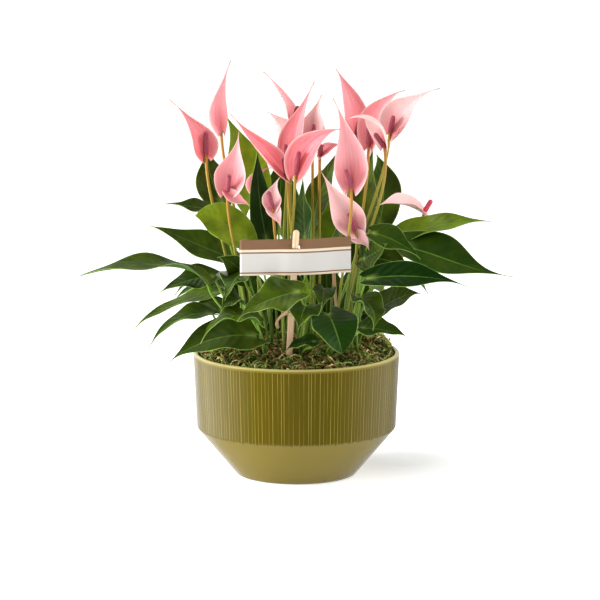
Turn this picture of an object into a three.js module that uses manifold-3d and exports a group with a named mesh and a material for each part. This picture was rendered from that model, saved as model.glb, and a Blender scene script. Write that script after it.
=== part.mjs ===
// A flamingo flower (anthurium) growing in a wide glazed bowl, with a moss cover and a bare label.
// Millimetres. X runs to the right and Y to the back in the front view, Z is up.
// The origin is on the surface that the bowl stands on, under the middle of its foot.
import * as THREE from "three";
import { mergeVertices } from "three/addons/utils/BufferGeometryUtils.js";
import Module from "manifold-3d";

const wasm = await Module();
wasm.setup();

// Bowl: a ribbed upright band over a plain taper that ends in a flat foot
const RIM_RADIUS = 115;
const RIM_HEIGHT = 139;
const RIM_ROUND = 2.5;
const BAND_BOTTOM_RADIUS = 111.5;
const BAND_BOTTOM_HEIGHT = 54;
const BAND_TOP_HEIGHT = 131;
const FOOT_RADIUS = 64;
const FOOT_ROUND = 5;
const WALL = 5;
const FLOOR_THICKNESS = 8;
const RIBS = 100;
const RIB_DEPTH = 0.7;
const PLAIN_SIDES = 40;
const RIM_LINE_HEIGHT = BAND_TOP_HEIGHT + 2.5;

// Filling: potting mix, then moss, each a clearance away from its neighbour
const CLEARANCE = 0.3;
const MIX_EDGE_HEIGHT = 122;
const MIX_CROWN = 8;
const MOSS_EDGE_HEIGHT = 133;
const MOSS_CROWN = 13;
const MOSS_LUMP = 2.2;
const MOSS_RING_SHARES = [1, 0.86, 0.62, 0.34];
const HOLE_BOTTOM = 104;
const HOLE_TOP = RIM_HEIGHT + 30;

// Stems: crowns and stalks stand in plain holes of the mix
const STEM_BOTTOM = HOLE_BOTTOM + CLEARANCE;
const STEM_STRAIGHT_TOP = 150;
const CROWN_RADIUS = 5.5;
const CROWN_TOP = 147;
const CROWN_SIDES = 5;
const PETIOLE_RADIUS = 1.3;
const PETIOLE_RING = 2.8;
const STALK_RADIUS = 1.6;
const PETIOLE_SIDES = 3;
const STALK_SIDES = 5;
const HOLE_SIDES = 4;
const CUT_MARGIN = CLEARANCE + 0.05;
const PETIOLE_SINK = 3;
const PETIOLE_END_SHARE = 0.2;
const CROWN_TAPER = 0.85;
const STEM_STEP = 50;
const STEM_RISE = 0.45;
const STEM_NECK = 0.3;
const PETIOLE_LEAN = 0.4;
const SPADIX_LEAN = 0.4;

// Blades: leaves and spathes are one thin curved sheet each
const EDGE_HALF_WIDTH = 0.5;
const BASE_SHARE = 0.3;
const SHOULDER_FULLNESS = 0.8;
const LOBE_REACH = 0.35;
const LOBE_FADE = 1.5;
const LOBE_SWEEP = 1.3;
const BLADE_ROWS = [0, 0.1, 0.28, 0.52, 0.78, 1];
const WIDE_COLUMNS = [-1, -0.5, 0, 0.5, 1];
const NARROW_COLUMNS = [-1, 0, 1];
const NARROW_WIDTH = 42;
const LEAF_FORM = { widest: 0.27, sharpness: 1.8, lobe: 0.22, cup: 25, tipCup: 35, thickness: 0.7 };
const SPATHE_FORM = { widest: 0.24, sharpness: 2.7, lobe: 0.2, cup: 62, tipCup: 40, thickness: 0.7 };
const SPADIX_RADIUS = 3;
const SPADIX_SHARES = [0.15, 0.6, 0.92, 1];
const SPADIX_GIRTHS = [1, 0.95, 0.6, 0.3];
const SPATHE_SEAT = STALK_RADIUS + CUT_MARGIN + SPATHE_FORM.thickness / 2;

// Label: a flat stick threaded through a slit in a card that bends back at its right half
const STICK_WIDTH = 7;
const STICK_THICKNESS = 1.6;
const STICK_TOP = { x: 0, z: 288 };
const STICK_FOOT = { x: -10.5, z: HOLE_BOTTOM + CLEARANCE };
const STICK_Y = -76;
const CARD_WIDTH = 122;
const CARD_HEIGHT = 40;
const CARD_THICKNESS = 0.6;
const CARD_BOTTOM = 238;
const CARD_LEFT = -62;
const CARD_BEND_BACK = 0.22;
const SLIT_WIDTH = 10;
const SLIT_HEIGHT = 3;
const SLIT_FROM_TOP = 9;
const SLIT_CUT_DEPTH = 12;
const CARD_BOW = STICK_THICKNESS / 2 + CARD_THICKNESS / 2 + CLEARANCE + 0.1;
const CARD_BOW_REACH = 14;
const CARD_BEND_START = 5;
const CARD_COLUMNS = [-40, -18, -10, -5, 0, 5, 10, 18, 40];

// Growing points of the leaf shoots, where their crowns stand in the mix
const CROWNS = {
  west_front: [-64, -30],
  west: [-60, 6],
  west_back: [-46, 42],
  front_left: [-34, -58],
  left: [-30, -20],
  mid_left: [-24, 20],
  back: [-10, 60],
  front: [6, -60],
  centre: [6, -20],
  mid_back: [14, 26],
  front_right: [36, -64],
  right: [38, -26],
  back_right: [34, 62],
  east_front: [64, -44],
  east: [68, -6],
  east_back: [60, 34],
};

// Leaves: where the blade joins its petiole, its tip, the rise of its midrib over a straight
// line, its width and the way its upper face looks. A second rise near the tip and a form are set
// where they differ from the plain ones. A covered blade, mostly hidden by others, is split less.
const LEAVES = {
  west_front: [
    {
      at: [-98, -30, 221], tip: [-242, -40, 232], rise: [21, 0, 20], fall: [7, 0, 12], width: 38,
      face: [0, -0.1, 0.97], form: { widest: 0.42, sharpness: 1.2 },
    },
    { at: [-92, -12, 226], tip: [-152, -18, 210], rise: [0, 0, 3], width: 34, face: [-0.2, -0.7, 0.7] },
    { at: [-92, -50, 190], tip: [-164, -60, 158], rise: [0, 0, 12], width: 34, face: [0, -0.2, 0.97] },
  ],
  west: [
    { at: [-70, 8, 241], tip: [-164, 28, 278], rise: [0, 0, 0], width: 41, face: [0.1, -0.6, 0.8] },
    { at: [-86, 5, 297], tip: [-147, 0, 307], rise: [0, 0, 0], width: 26, face: [0, -0.5, 0.85] },
    { at: [-83, 24, 202], tip: [-187, 16, 162], rise: [0, 0, 7], width: 26, face: [0, -0.3, 0.95] },
    { at: [-78, 2, 186], tip: [-146, -10, 172], rise: [0, 0, 6], width: 41, face: [0, -0.3, 0.95] },
  ],
  west_back: [
    {
      at: [-50, 46, 162], tip: [-64, 42, 250], rise: [0, 6, 0], width: 58, face: [0, -0.95, 0.3],
      covered: true,
    },
    { at: [-84, 42, 301], tip: [-98, 52, 362], rise: [-6, 6, 0], width: 44, face: [0.1, -0.9, 0.3] },
    { at: [-83, 55, 201], tip: [-138, 65, 187], rise: [0, 0, 8], width: 32, face: [0, -0.3, 0.95] },
    {
      at: [-70, 80, 203], tip: [-140, 150, 178], rise: [0, 0, 16], width: 52, face: [-0.2, 0.3, 0.9],
      covered: true,
    },
  ],
  front_left: [
    {
      at: [-45, -66, 168], tip: [-140, -84, 144], rise: [0, 0, 10], width: 60,
      face: [-0.1, -0.55, 0.83],
    },
    {
      at: [-43, -80, 187], tip: [-105, -102, 173], rise: [0, 0, 14], width: 40,
      face: [-0.2, -0.35, 0.9],
    },
    { at: [-57, -60, 205], tip: [-84, -84, 200], rise: [0, 0, 6], width: 34, face: [-0.3, -0.5, 0.8] },
  ],
  left: [
    {
      at: [-54, -20, 267], tip: [-112, -32, 299], rise: [0, 0, 6], width: 46, face: [0.2, -0.85, 0.5],
      form: { widest: 0.4, sharpness: 1 },
    },
    { at: [-60, -50, 237], tip: [-79, -76, 211], rise: [0, -5, 5], width: 38, face: [-0.5, -0.7, 0.5] },
    { at: [-52, -40, 227], tip: [-87, -56, 256], rise: [0, 0, 4], width: 32, face: [-0.3, -0.9, 0.3] },
  ],
  mid_left: [
    { at: [-32, 14, 257], tip: [-43, 8, 369], rise: [-4, 0, 0], width: 32, face: [0.3, -0.9, 0.2] },
    { at: [-50, 40, 297], tip: [-79, 56, 399], rise: [4, 8, 0], width: 54, face: [0.2, -0.9, 0.3] },
  ],
  back: [
    {
      at: [-20, 62, 262], tip: [-16, 78, 358], rise: [0, 8, 0], width: 50, face: [0, -0.95, 0.3],
      covered: true,
    },
    {
      at: [-25, 95, 225], tip: [-45, 185, 205], rise: [0, 0, 24], width: 56, face: [0, 0.3, 0.9],
      covered: true,
    },
    {
      at: [-5, 90, 190], tip: [5, 160, 160], rise: [0, 0, 14], width: 46, face: [0, 0.3, 0.9],
      covered: true,
    },
    {
      at: [-8, 64, 156], tip: [-16, 60, 248], rise: [0, 4, 0], width: 58, face: [0, -0.95, 0.2],
      covered: true,
    },
  ],
  front: [
    { at: [3, -90, 222], tip: [-65, -110, 198], rise: [0, 0, 4], width: 46, face: [-0.2, -0.7, 0.7] },
    { at: [11, -84, 206], tip: [2, -106, 184], rise: [0, -4, 4], width: 40, face: [0, -0.75, 0.65] },
    { at: [10, -54, 206], tip: [11, -60, 237], rise: [0, 0, 0], width: 16, face: [-0.2, -0.9, 0.2] },
    { at: [21, -78, 164], tip: [-13, -88, 156], rise: [0, 0, 3], width: 20, face: [0, -0.6, 0.8] },
  ],
  centre: [
    { at: [9, -4, 265], tip: [7, 14, 334], rise: [0, 3, 0], width: 34, face: [-0.7, -0.7, 0.1] },
    { at: [31, -46, 218], tip: [28, -70, 198], rise: [0, -4, 4], width: 28, face: [0.1, -0.75, 0.65] },
  ],
  mid_back: [
    { at: [17, 26, 280], tip: [53, 42, 367], rise: [-4, 0, 0], width: 32, face: [-0.4, -0.8, 0.3] },
    { at: [24, 58, 254], tip: [27, 72, 341], rise: [0, 4, 0], width: 44, face: [0, -0.95, 0.3] },
    {
      at: [34, 44, 158], tip: [34, 42, 250], rise: [0, 5, 0], width: 56, face: [0, -0.95, 0.2],
      covered: true,
    },
  ],
  front_right: [
    {
      at: [35, -82, 196], tip: [50, -112, 159], rise: [0, -5, 5], width: 54, face: [0.1, -0.75, 0.65],
      form: { widest: 0.42, sharpness: 0.8 },
    },
    { at: [72, -70, 178], tip: [122, -84, 172], rise: [0, 0, 2], width: 36, face: [0.1, -0.4, 0.9] },
  ],
  right: [
    { at: [70, 20, 270], tip: [86, 32, 366], rise: [0, 0, 0], width: 41, face: [-0.4, -0.85, 0.3] },
    { at: [62, 18, 229], tip: [90, 24, 252], rise: [0, 0, 4], width: 44, face: [0, -0.9, 0.4] },
  ],
  back_right: [
    {
      at: [50, 85, 235], tip: [90, 170, 225], rise: [0, 0, 24], width: 56, face: [0.1, 0.3, 0.9],
      covered: true,
    },
    {
      at: [60, 80, 185], tip: [108, 132, 172], rise: [0, 0, 14], width: 46, face: [0.1, 0.2, 0.9],
      covered: true,
    },
    {
      at: [62, 66, 160], tip: [68, 62, 244], rise: [0, 5, 0], width: 46, face: [0.1, -0.95, 0.2],
      covered: true,
    },
  ],
  east_front: [
    {
      at: [77, -76, 234], tip: [187, -88, 229], rise: [0, 0, 6], width: 38, face: [0, -0.75, 0.65],
      form: { sharpness: 2 },
    },
    { at: [68, -66, 212], tip: [84, -98, 182], rise: [8, -4, 4], width: 38, face: [0.5, -0.5, 0.7] },
  ],
  east: [
    { at: [84, -51, 281], tip: [137, -62, 255], rise: [0, 0, 4], width: 31, face: [0.1, -0.85, 0.5] },
    { at: [74, -46, 251], tip: [100, -64, 273], rise: [0, 0, -2], width: 34, face: [-0.2, -0.8, 0.55] },
    {
      at: [112, 4, 267], tip: [217, -4, 288], rise: [0, 0, 6], fall: [0, 0, 3], width: 42,
      face: [0, -0.5, 0.87],
    },
    {
      at: [116, -22, 262], tip: [240, -42, 232], rise: [0, 0, 2], fall: [0, 0, -8], width: 62,
      face: [0.1, -0.6, 0.8], form: { sharpness: 2.8 },
    },
    {
      at: [75, -43, 251], tip: [128, -52, 240], rise: [0, 0, 4], width: 46, face: [0, -0.9, 0.44],
      covered: true,
    },
    { at: [91, -8, 187], tip: [139, -14, 208], rise: [0, 0, 4], width: 42, face: [-0.1, -0.5, 0.85] },
  ],
  east_back: [
    {
      at: [92, 44, 272], tip: [90, 56, 355], rise: [7, 0, 0], width: 42, face: [0.3, -0.9, 0.3],
      form: { widest: 0.45, sharpness: 1.6 },
    },
    { at: [112, 54, 240], tip: [176, 66, 228], rise: [0, 0, 8], width: 48, face: [0, -0.2, 0.95] },
    {
      at: [100, 74, 205], tip: [150, 100, 188], rise: [0, 0, 14], width: 48, face: [0.1, 0.1, 0.95],
      covered: true,
    },
  ],
};

// Flowers: the foot of the stalk in the moss, where the spathe and the spadix grow from it, the
// spathe's tip with its rise and face, and the spadix's tip
const FLOWERS = [
  {
    foot: [-66, -20], at: [-100, -14, 362], tip: [-140, -30, 428], rise: [8, 0, -2], width: 36,
    face: [0.3, -0.85, 0.3], spadix: [-100, -20, 388], form: { sharpness: 3 },
  },
  {
    foot: [-50, 26], at: [-84, 25, 384], tip: [-73, 30, 464], rise: [-5, 0, 0], width: 29,
    face: [-0.5, 0.8, 0.2], spadix: [-88, 32, 408], form: { sharpness: 3.2 },
  },
  {
    foot: [-54, -40], at: [-76, -42, 325], tip: [-63, -52, 395], rise: [2, 4, 0], width: 42,
    face: [-0.2, -0.95, 0.2], spadix: [-74, -52, 346],
  },
  {
    foot: [-40, 4], at: [-49, 16, 318], tip: [-27, 30, 343], rise: [-5, 0, 4], width: 19,
    face: [-0.3, 0.9, 0.3], spadix: [-48, 24, 330],
  },
  {
    foot: [-14, -62], at: [-26, -56, 309], tip: [-18, -54, 345], rise: [-3, 3, 0], width: 26,
    face: [-0.2, -0.95, 0.2], spadix: [-31, -64, 329],
  },
  {
    foot: [2, -46], at: [-10, -38, 341], tip: [-72, -60, 416], rise: [-4, 0, 2], width: 38,
    face: [0.5, -0.5, 0.6], spadix: [-14, -46, 364],
  },
  {
    foot: [-8, -4], at: [-10, -5, 351], tip: [20, -12, 446], rise: [-3, 0, 0], width: 36,
    face: [-0.5, -0.8, 0.2], spadix: [-12, -14, 374],
  },
  {
    foot: [-9, -50], at: [-1, -58, 347], tip: [48, -80, 402], rise: [-6, 0, 8], width: 42,
    face: [-0.3, -0.85, 0.4], spadix: [3, -68, 374], form: { sharpness: 1.9 },
  },
  {
    foot: [-2, 36], at: [-5, 30, 390], tip: [-37, 25, 452], rise: [5, 0, 3], width: 26,
    face: [0.7, -0.4, 0.4], spadix: [2, 24, 412], form: { sharpness: 3.2 },
  },
  {
    foot: [-16, 44], at: [-8, 48, 370], tip: [-33, 54, 403], rise: [0, 0, 4], width: 28,
    face: [0.3, 0.8, 0.4], spadix: [-4, 56, 388],
  },
  {
    foot: [20, 6], at: [18, 14, 373], tip: [28, 16, 427], rise: [-3, 3, 0], width: 34,
    face: [-0.1, -0.95, 0.2], spadix: [19, 5, 394],
  },
  {
    foot: [26, 8], at: [26, 10, 358], tip: [53, -4, 374], rise: [0, 0, 3], width: 20,
    face: [-0.2, -0.6, 0.7], spadix: [27, 2, 372],
  },
  {
    foot: [38, 8], at: [66, 14, 376], tip: [44, 10, 457], rise: [5, 0, 0], width: 40,
    face: [0.5, -0.8, 0.2], spadix: [70, 4, 398], form: { sharpness: 1.9 },
  },
  {
    foot: [61, 7], at: [80, -4, 371], tip: [120, -14, 436], rise: [-6, 0, 10], width: 40,
    face: [-0.5, -0.75, 0.3], spadix: [80, -14, 394],
  },
  {
    foot: [52, -22], at: [103, -28, 389], tip: [158, -43, 442], rise: [-6, 0, 6], width: 42,
    face: [-0.3, -0.8, 0.4], spadix: [107, -37, 409], form: { sharpness: 3.2 },
  },
  {
    foot: [57, -12], at: [97, -44, 375], tip: [52, -68, 409], rise: [10, 0, 16], width: 38,
    face: [-0.3, -0.1, -0.9], spadix: [86, -56, 392], form: { sharpness: 1.7 },
  },
  {
    foot: [44, -55], at: [60, -68, 334], tip: [40, -82, 436], rise: [6, 4, 0], width: 44,
    face: [0, -0.95, 0.25], spadix: [54, -80, 356],
  },
  {
    foot: [53, -44], at: [66, -46, 283], tip: [26, -54, 353], rise: [0, 5, -3], width: 42,
    face: [-0.1, -0.9, 0.4], spadix: [57, -54, 303],
  },
  {
    foot: [82, 12], at: [143, 31, 291], tip: [88, -6, 304], rise: [0, 0, 8], width: 34,
    face: [0.1, -0.35, 0.87], spadix: [151, 24, 306], form: { widest: 0.38, sharpness: 2.7 },
  },
];

const UP = new THREE.Vector3(0, 0, 1);

/** Joins closed solids into one. */
const joined = (solids) => solids.reduce((whole, next) => whole.add(next));

/** Turns a flat list of points and triangles into a closed solid. */
function solidOf(points, triangles) {
  const vertProperties = new Float32Array(points.flatMap((p) => [p.x, p.y, p.z]));
  const triVerts = new Uint32Array(triangles.flat());
  return new wasm.Manifold(new wasm.Mesh({ numProp: 3, vertProperties, triVerts }));
}

/** Turns a closed three.js geometry into a solid. */
function solidOfGeometry(geometry) {
  const bare = geometry.clone();
  bare.deleteAttribute("normal");
  bare.deleteAttribute("uv");
  const merged = mergeVertices(bare, 1e-3);
  return new wasm.Manifold(
    new wasm.Mesh({
      numProp: 3,
      vertProperties: merged.attributes.position.array,
      triVerts: new Uint32Array(merged.index.array),
    }),
  );
}

/** The largest body of a solid, without loose scraps. */
function mainBody(solid) {
  const bodies = solid.decompose();
  return bodies.reduce((best, body) => (body.volume() > best.volume() ? body : best));
}

/** Makes the named mesh of a solid. */
function meshOf(name, solid, material) {
  const { numProp, vertProperties, triVerts } = solid.getMesh();
  const corners = [];
  for (let i = 0; i < vertProperties.length; i += numProp) {
    corners.push(vertProperties[i], vertProperties[i + 1], vertProperties[i + 2]);
  }
  const geometry = new THREE.BufferGeometry();
  geometry.setAttribute("position", new THREE.Float32BufferAttribute(corners, 3));
  geometry.setIndex([...triVerts]);
  geometry.computeVertexNormals();
  const mesh = new THREE.Mesh(geometry, material);
  mesh.name = name;
  return mesh;
}

/** Closes a sheet of points, given as rows, by a second face and a rim. Both faces split alike. */
function sheetSolid(front, back) {
  const rows = front.length;
  const columns = front[0].length;
  const points = [...front.flat(), ...back.flat()];
  const face = (row, column) => row * columns + column;
  const under = (row, column) => rows * columns + face(row, column);
  const triangles = [];
  const quad = (a, b, c, d) => triangles.push([a, b, c], [a, c, d]);
  for (let i = 0; i + 1 < rows; i += 1) {
    for (let j = 0; j + 1 < columns; j += 1) {
      const [a, b, c, d] = [face(i, j), face(i, j + 1), face(i + 1, j + 1), face(i + 1, j)];
      quad(a, b, c, d);
      const shift = rows * columns;
      triangles.push([a + shift, c + shift, b + shift], [a + shift, d + shift, c + shift]);
    }
    quad(face(i + 1, 0), under(i + 1, 0), under(i, 0), face(i, 0));
    const end = columns - 1;
    quad(face(i, end), under(i, end), under(i + 1, end), face(i + 1, end));
  }
  for (let j = 0; j + 1 < columns; j += 1) {
    quad(face(0, j), under(0, j), under(0, j + 1), face(0, j + 1));
    quad(face(rows - 1, j + 1), under(rows - 1, j + 1), under(rows - 1, j), face(rows - 1, j));
  }
  const solid = solidOf(points, triangles);
  return solid.volume() > 0 ? solid : solidOf(points, triangles.map(([a, b, c]) => [a, c, b]));
}

/** A round or many-sided rod along a list of points, with a radius at each of them. */
function rodSolid(path, radii, sides) {
  const rings = path.map((point, i) => {
    const before = path[Math.max(i - 1, 0)];
    const after = path[Math.min(i + 1, path.length - 1)];
    return { point, radius: radii[i], along: after.clone().sub(before).normalize() };
  });
  const across = new THREE.Vector3(1, 0, 0);
  const points = [];
  for (const ring of rings) {
    across.addScaledVector(ring.along, -across.dot(ring.along)).normalize();
    const second = ring.along.clone().cross(across);
    for (let k = 0; k < sides; k += 1) {
      const turn = (2 * Math.PI * (k + 0.5)) / sides;
      const corner = ring.point.clone();
      corner.addScaledVector(across, ring.radius * Math.cos(turn));
      corner.addScaledVector(second, ring.radius * Math.sin(turn));
      points.push(corner);
    }
  }
  const triangles = [];
  for (let i = 0; i + 1 < rings.length; i += 1) {
    for (let k = 0; k < sides; k += 1) {
      const next = (k + 1) % sides;
      const [a, b] = [i * sides + k, i * sides + next];
      triangles.push([a, b, b + sides], [a, b + sides, a + sides]);
    }
  }
  const last = (rings.length - 1) * sides;
  for (let k = 1; k + 1 < sides; k += 1) {
    triangles.push([0, k + 1, k], [last, last + k, last + k + 1]);
  }
  return solidOf(points, triangles);
}

/** Points of a cubic curve. */
function curvePoints(from, handleA, handleB, to, steps) {
  return new THREE.CubicBezierCurve3(from, handleA, handleB, to).getPoints(steps);
}

/** The line of a stem: upright in its hole, then over to the place that it carries. */
function stemLine([x, y], start, top, lean) {
  const free = new THREE.Vector3(x, y, start);
  const reach = free.distanceTo(top);
  const handleA = free.clone().addScaledVector(UP, reach * STEM_RISE);
  const handleB = top.clone().addScaledVector(lean, -reach * STEM_NECK);
  return curvePoints(free, handleA, handleB, top, Math.ceil(reach / STEM_STEP));
}

/** Share of a blade's full half width at the place s, from 0 at its base to 1 at its tip. */
function outlineShare(s, { widest, sharpness }) {
  if (s < widest) {
    const rise = Math.sin((Math.PI / 2) * (s / widest)) ** SHOULDER_FULLNESS;
    return BASE_SHARE + (1 - BASE_SHARE) * rise;
  }
  const beyond = (s - widest) / (1 - widest);
  return (1 - beyond) ** sharpness * (1 + sharpness * beyond);
}

/** A cupped, heart-based blade with a drawn-out tip, and where its petiole meets it. */
function bladeParts(row, form) {
  const base = new THREE.Vector3(...row.at);
  const tip = new THREE.Vector3(...row.tip);
  const face = new THREE.Vector3(...row.face);
  const rise = new THREE.Vector3(...row.rise);
  const fall = new THREE.Vector3(...(row.fall ?? row.rise));
  const handleA = base.clone().lerp(tip, 1 / 3).addScaledVector(rise, 4 / 3);
  const handleB = base.clone().lerp(tip, 2 / 3).addScaledVector(fall, 4 / 3);
  const midrib = new THREE.CubicBezierCurve3(base, handleA, handleB, tip);
  const columns = row.width < NARROW_WIDTH || row.covered ? NARROW_COLUMNS : WIDE_COLUMNS;
  const front = [];
  const back = [];
  for (const s of BLADE_ROWS) {
    const middle = midrib.getPoint(s);
    const along = midrib.getTangent(s);
    const normal = face.clone().addScaledVector(along, -face.dot(along)).normalize();
    const side = along.clone().cross(normal);
    const share = outlineShare(s, { ...form, ...row.form });
    const half = Math.max((share * row.width) / 2, EDGE_HALF_WIDTH);
    const cup = THREE.MathUtils.degToRad(form.cup + (form.tipCup - form.cup) * s);
    const lobe = form.lobe * row.width * Math.max(1 - s / LOBE_REACH, 0) ** LOBE_FADE;
    const frontRow = [];
    const backRow = [];
    for (const t of columns) {
      const turn = cup * t;
      const point = middle.clone();
      point.addScaledVector(side, (half / cup) * Math.sin(turn));
      point.addScaledVector(normal, (half / cup) * (1 - Math.cos(turn)));
      point.addScaledVector(along, -lobe * Math.abs(t) ** LOBE_SWEEP);
      const out = normal.clone().multiplyScalar(Math.cos(turn)).addScaledVector(side, -Math.sin(turn));
      frontRow.push(point.clone().addScaledVector(out, form.thickness / 2));
      backRow.push(point.clone().addScaledVector(out, -form.thickness / 2));
    }
    front.push(frontRow);
    back.push(backRow);
  }
  const start = midrib.getTangent(0);
  const normal = face.clone().addScaledVector(start, -face.dot(start)).normalize();
  const midribRoot = midrib.getPoint(BLADE_ROWS[1]);
  return { solid: sheetSolid(front, back), base, start, normal, midribRoot };
}

/** One leaf of a shoot: its blade and the petiole that runs in under the midrib. */
function leafSolid(row, crown, index, count) {
  const { solid, base, start, normal, midribRoot } = bladeParts(row, LEAF_FORM);
  const turn = (2 * Math.PI * index) / count;
  const foot = [
    crown[0] + PETIOLE_RING * Math.cos(turn),
    crown[1] + PETIOLE_RING * Math.sin(turn),
  ];
  const lean = UP.clone().addScaledVector(start, PETIOLE_LEAN).normalize();
  const joint = base.clone().addScaledVector(normal, -PETIOLE_RADIUS * 0.75);
  const line = stemLine(foot, CROWN_TOP - PETIOLE_SINK, joint, lean);
  line.push(midribRoot);
  const radii = line.map(() => PETIOLE_RADIUS);
  radii[radii.length - 1] = PETIOLE_RADIUS * PETIOLE_END_SHARE;
  return solid.add(rodSolid(line, radii, PETIOLE_SIDES));
}

/** A leaf shoot: the short crown that stands in the mix, with its leaves. */
function shootSolid(name) {
  const [x, y] = CROWNS[name];
  const line = [STEM_BOTTOM, CROWN_TOP].map((z) => new THREE.Vector3(x, y, z));
  const crown = rodSolid(line, [CROWN_RADIUS, CROWN_RADIUS * CROWN_TAPER], CROWN_SIDES);
  const leaves = LEAVES[name].map((row, i, all) => leafSolid(row, CROWNS[name], i, all.length));
  return joined([crown, ...leaves]);
}

/** A flower's stalk that swells into its spadix, thickened by a margin where a neighbour is cut. */
function stalkSolid(row, margin) {
  const top = new THREE.Vector3(...row.at);
  const spadixTip = new THREE.Vector3(...row.spadix);
  const reach = spadixTip.clone().sub(top);
  const lean = reach.clone().normalize().multiplyScalar(SPADIX_LEAN).add(UP).normalize();
  const bottom = new THREE.Vector3(row.foot[0], row.foot[1], STEM_BOTTOM);
  const line = [bottom, ...stemLine(row.foot, STEM_STRAIGHT_TOP, top, lean)];
  const spadix = SPADIX_SHARES.map((share) => top.clone().addScaledVector(reach, share));
  const stalkRadii = line.map(() => STALK_RADIUS + margin);
  const spadixRadii = SPADIX_GIRTHS.map((girth) => SPADIX_RADIUS * girth + margin);
  return rodSolid([...line, ...spadix], [...stalkRadii, ...spadixRadii], STALK_SIDES);
}

/** The coloured spathe: seated behind the stalk, and notched where the stalk or spadix passes it. */
function spatheSolid(row) {
  const face = new THREE.Vector3(...row.face).normalize();
  const seat = new THREE.Vector3(...row.at).addScaledVector(face, -SPATHE_SEAT);
  const { solid } = bladeParts({ ...row, at: seat.toArray() }, SPATHE_FORM);
  const stalk = stalkSolid(row, CUT_MARGIN);
  return solid.intersect(stalk).isEmpty() ? solid : mainBody(solid.subtract(stalk));
}

/** A ring of points round Z. Its radius is one number, or a function of the corner's number. */
function ringPoints({ radius, height, sides }) {
  return Array.from({ length: sides }, (_, k) => {
    const turn = (2 * Math.PI * k) / sides;
    const r = typeof radius === "function" ? radius(k) : radius;
    return new THREE.Vector3(r * Math.cos(turn), r * Math.sin(turn), height);
  });
}

/** A closed turned body from rings whose number of sides may change by a whole factor. */
function ringBody(rings, bottomHeight, topHeight) {
  const points = [new THREE.Vector3(0, 0, bottomHeight), new THREE.Vector3(0, 0, topHeight)];
  const starts = rings.map((ring) => {
    const start = points.length;
    points.push(...ringPoints(ring));
    return start;
  });
  const triangles = [];
  const corner = (ring, k) => starts[ring] + (k % rings[ring].sides);
  for (let k = 0; k < rings[0].sides; k += 1) triangles.push([0, corner(0, k + 1), corner(0, k)]);
  for (let i = 0; i + 1 < rings.length; i += 1) {
    const [low, high] = [rings[i].sides, rings[i + 1].sides];
    const steps = Math.max(low, high);
    for (let k = 0; k < steps; k += 1) {
      const [a, b] = [Math.round((k * low) / steps), Math.round(((k + 1) * low) / steps)];
      const [c, d] = [Math.round((k * high) / steps), Math.round(((k + 1) * high) / steps)];
      if (a !== b) triangles.push([corner(i, a), corner(i, b), corner(i + 1, c)]);
      if (c !== d) triangles.push([corner(i, b), corner(i + 1, d), corner(i + 1, c)]);
    }
  }
  const top = rings.length - 1;
  for (let k = 0; k < rings[top].sides; k += 1) triangles.push([1, corner(top, k), corner(top, k + 1)]);
  return solidOf(points, triangles);
}

/** Radius of the bowl's inner wall at a height above its corner. */
function innerRadius(z) {
  const share = (z - BAND_BOTTOM_HEIGHT) / (RIM_HEIGHT - BAND_BOTTOM_HEIGHT);
  return BAND_BOTTOM_RADIUS - WALL + (RIM_RADIUS - BAND_BOTTOM_RADIUS) * share;
}

/** The bowl, from the middle of its foot up the outside, over the rim and down the inside. */
function bowlSolid() {
  const ring = (radius, height) => ({ radius, height, sides: PLAIN_SIDES });
  const ribbed = (radius, height) => ({
    radius: (k) => radius - (k % 2) * RIB_DEPTH,
    height,
    sides: 2 * RIBS,
  });
  const rings = [
    ring(FOOT_RADIUS - 2, 0),
    ring(FOOT_RADIUS + 2, 0.8),
    ring(FOOT_RADIUS + FOOT_ROUND, 3.5),
    ring(BAND_BOTTOM_RADIUS - 1.3, BAND_BOTTOM_HEIGHT - 1.8),
    ribbed(BAND_BOTTOM_RADIUS, BAND_BOTTOM_HEIGHT + 1.5),
    ribbed(RIM_RADIUS, BAND_TOP_HEIGHT),
    ring(RIM_RADIUS, RIM_LINE_HEIGHT),
    ring(RIM_RADIUS, RIM_HEIGHT - RIM_ROUND),
    ring(RIM_RADIUS - RIM_ROUND / 2, RIM_HEIGHT),
    ring(RIM_RADIUS - WALL + RIM_ROUND / 2, RIM_HEIGHT),
    ring(RIM_RADIUS - WALL, RIM_HEIGHT - RIM_ROUND),
    ring(innerRadius(BAND_BOTTOM_HEIGHT), BAND_BOTTOM_HEIGHT),
    ring(FOOT_RADIUS - WALL, FLOOR_THICKNESS + 3),
  ];
  return ringBody(rings, 0, FLOOR_THICKNESS);
}

/** What stands in the mix and moss, made wider by the clearance, to cut the plain holes. */
function standingSolids() {
  const rod = ([x, y], radius, sides) => {
    const ends = [HOLE_BOTTOM, HOLE_TOP].map((z) => new THREE.Vector3(x, y, z));
    const wide = (radius + CUT_MARGIN) / Math.cos(Math.PI / sides);
    return rodSolid(ends, [wide, wide], sides);
  };
  return [
    ...Object.values(CROWNS).map((foot) => rod(foot, CROWN_RADIUS, CROWN_SIDES)),
    ...FLOWERS.map(({ foot }) => rod(foot, STALK_RADIUS, HOLE_SIDES)),
    stickSolid(CUT_MARGIN),
  ];
}

/** Potting mix: fills the bowl up to a low cone. */
function mixSolid() {
  const ring = (radius, height) => ({ radius, height, sides: PLAIN_SIDES });
  const rings = [
    ring(FOOT_RADIUS - WALL - CLEARANCE, FLOOR_THICKNESS + 3 + CLEARANCE),
    ring(innerRadius(BAND_BOTTOM_HEIGHT) - CLEARANCE, BAND_BOTTOM_HEIGHT + CLEARANCE),
    ring(innerRadius(MIX_EDGE_HEIGHT) - CLEARANCE, MIX_EDGE_HEIGHT),
  ];
  return ringBody(rings, FLOOR_THICKNESS + CLEARANCE, MIX_EDGE_HEIGHT + MIX_CROWN);
}

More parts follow.
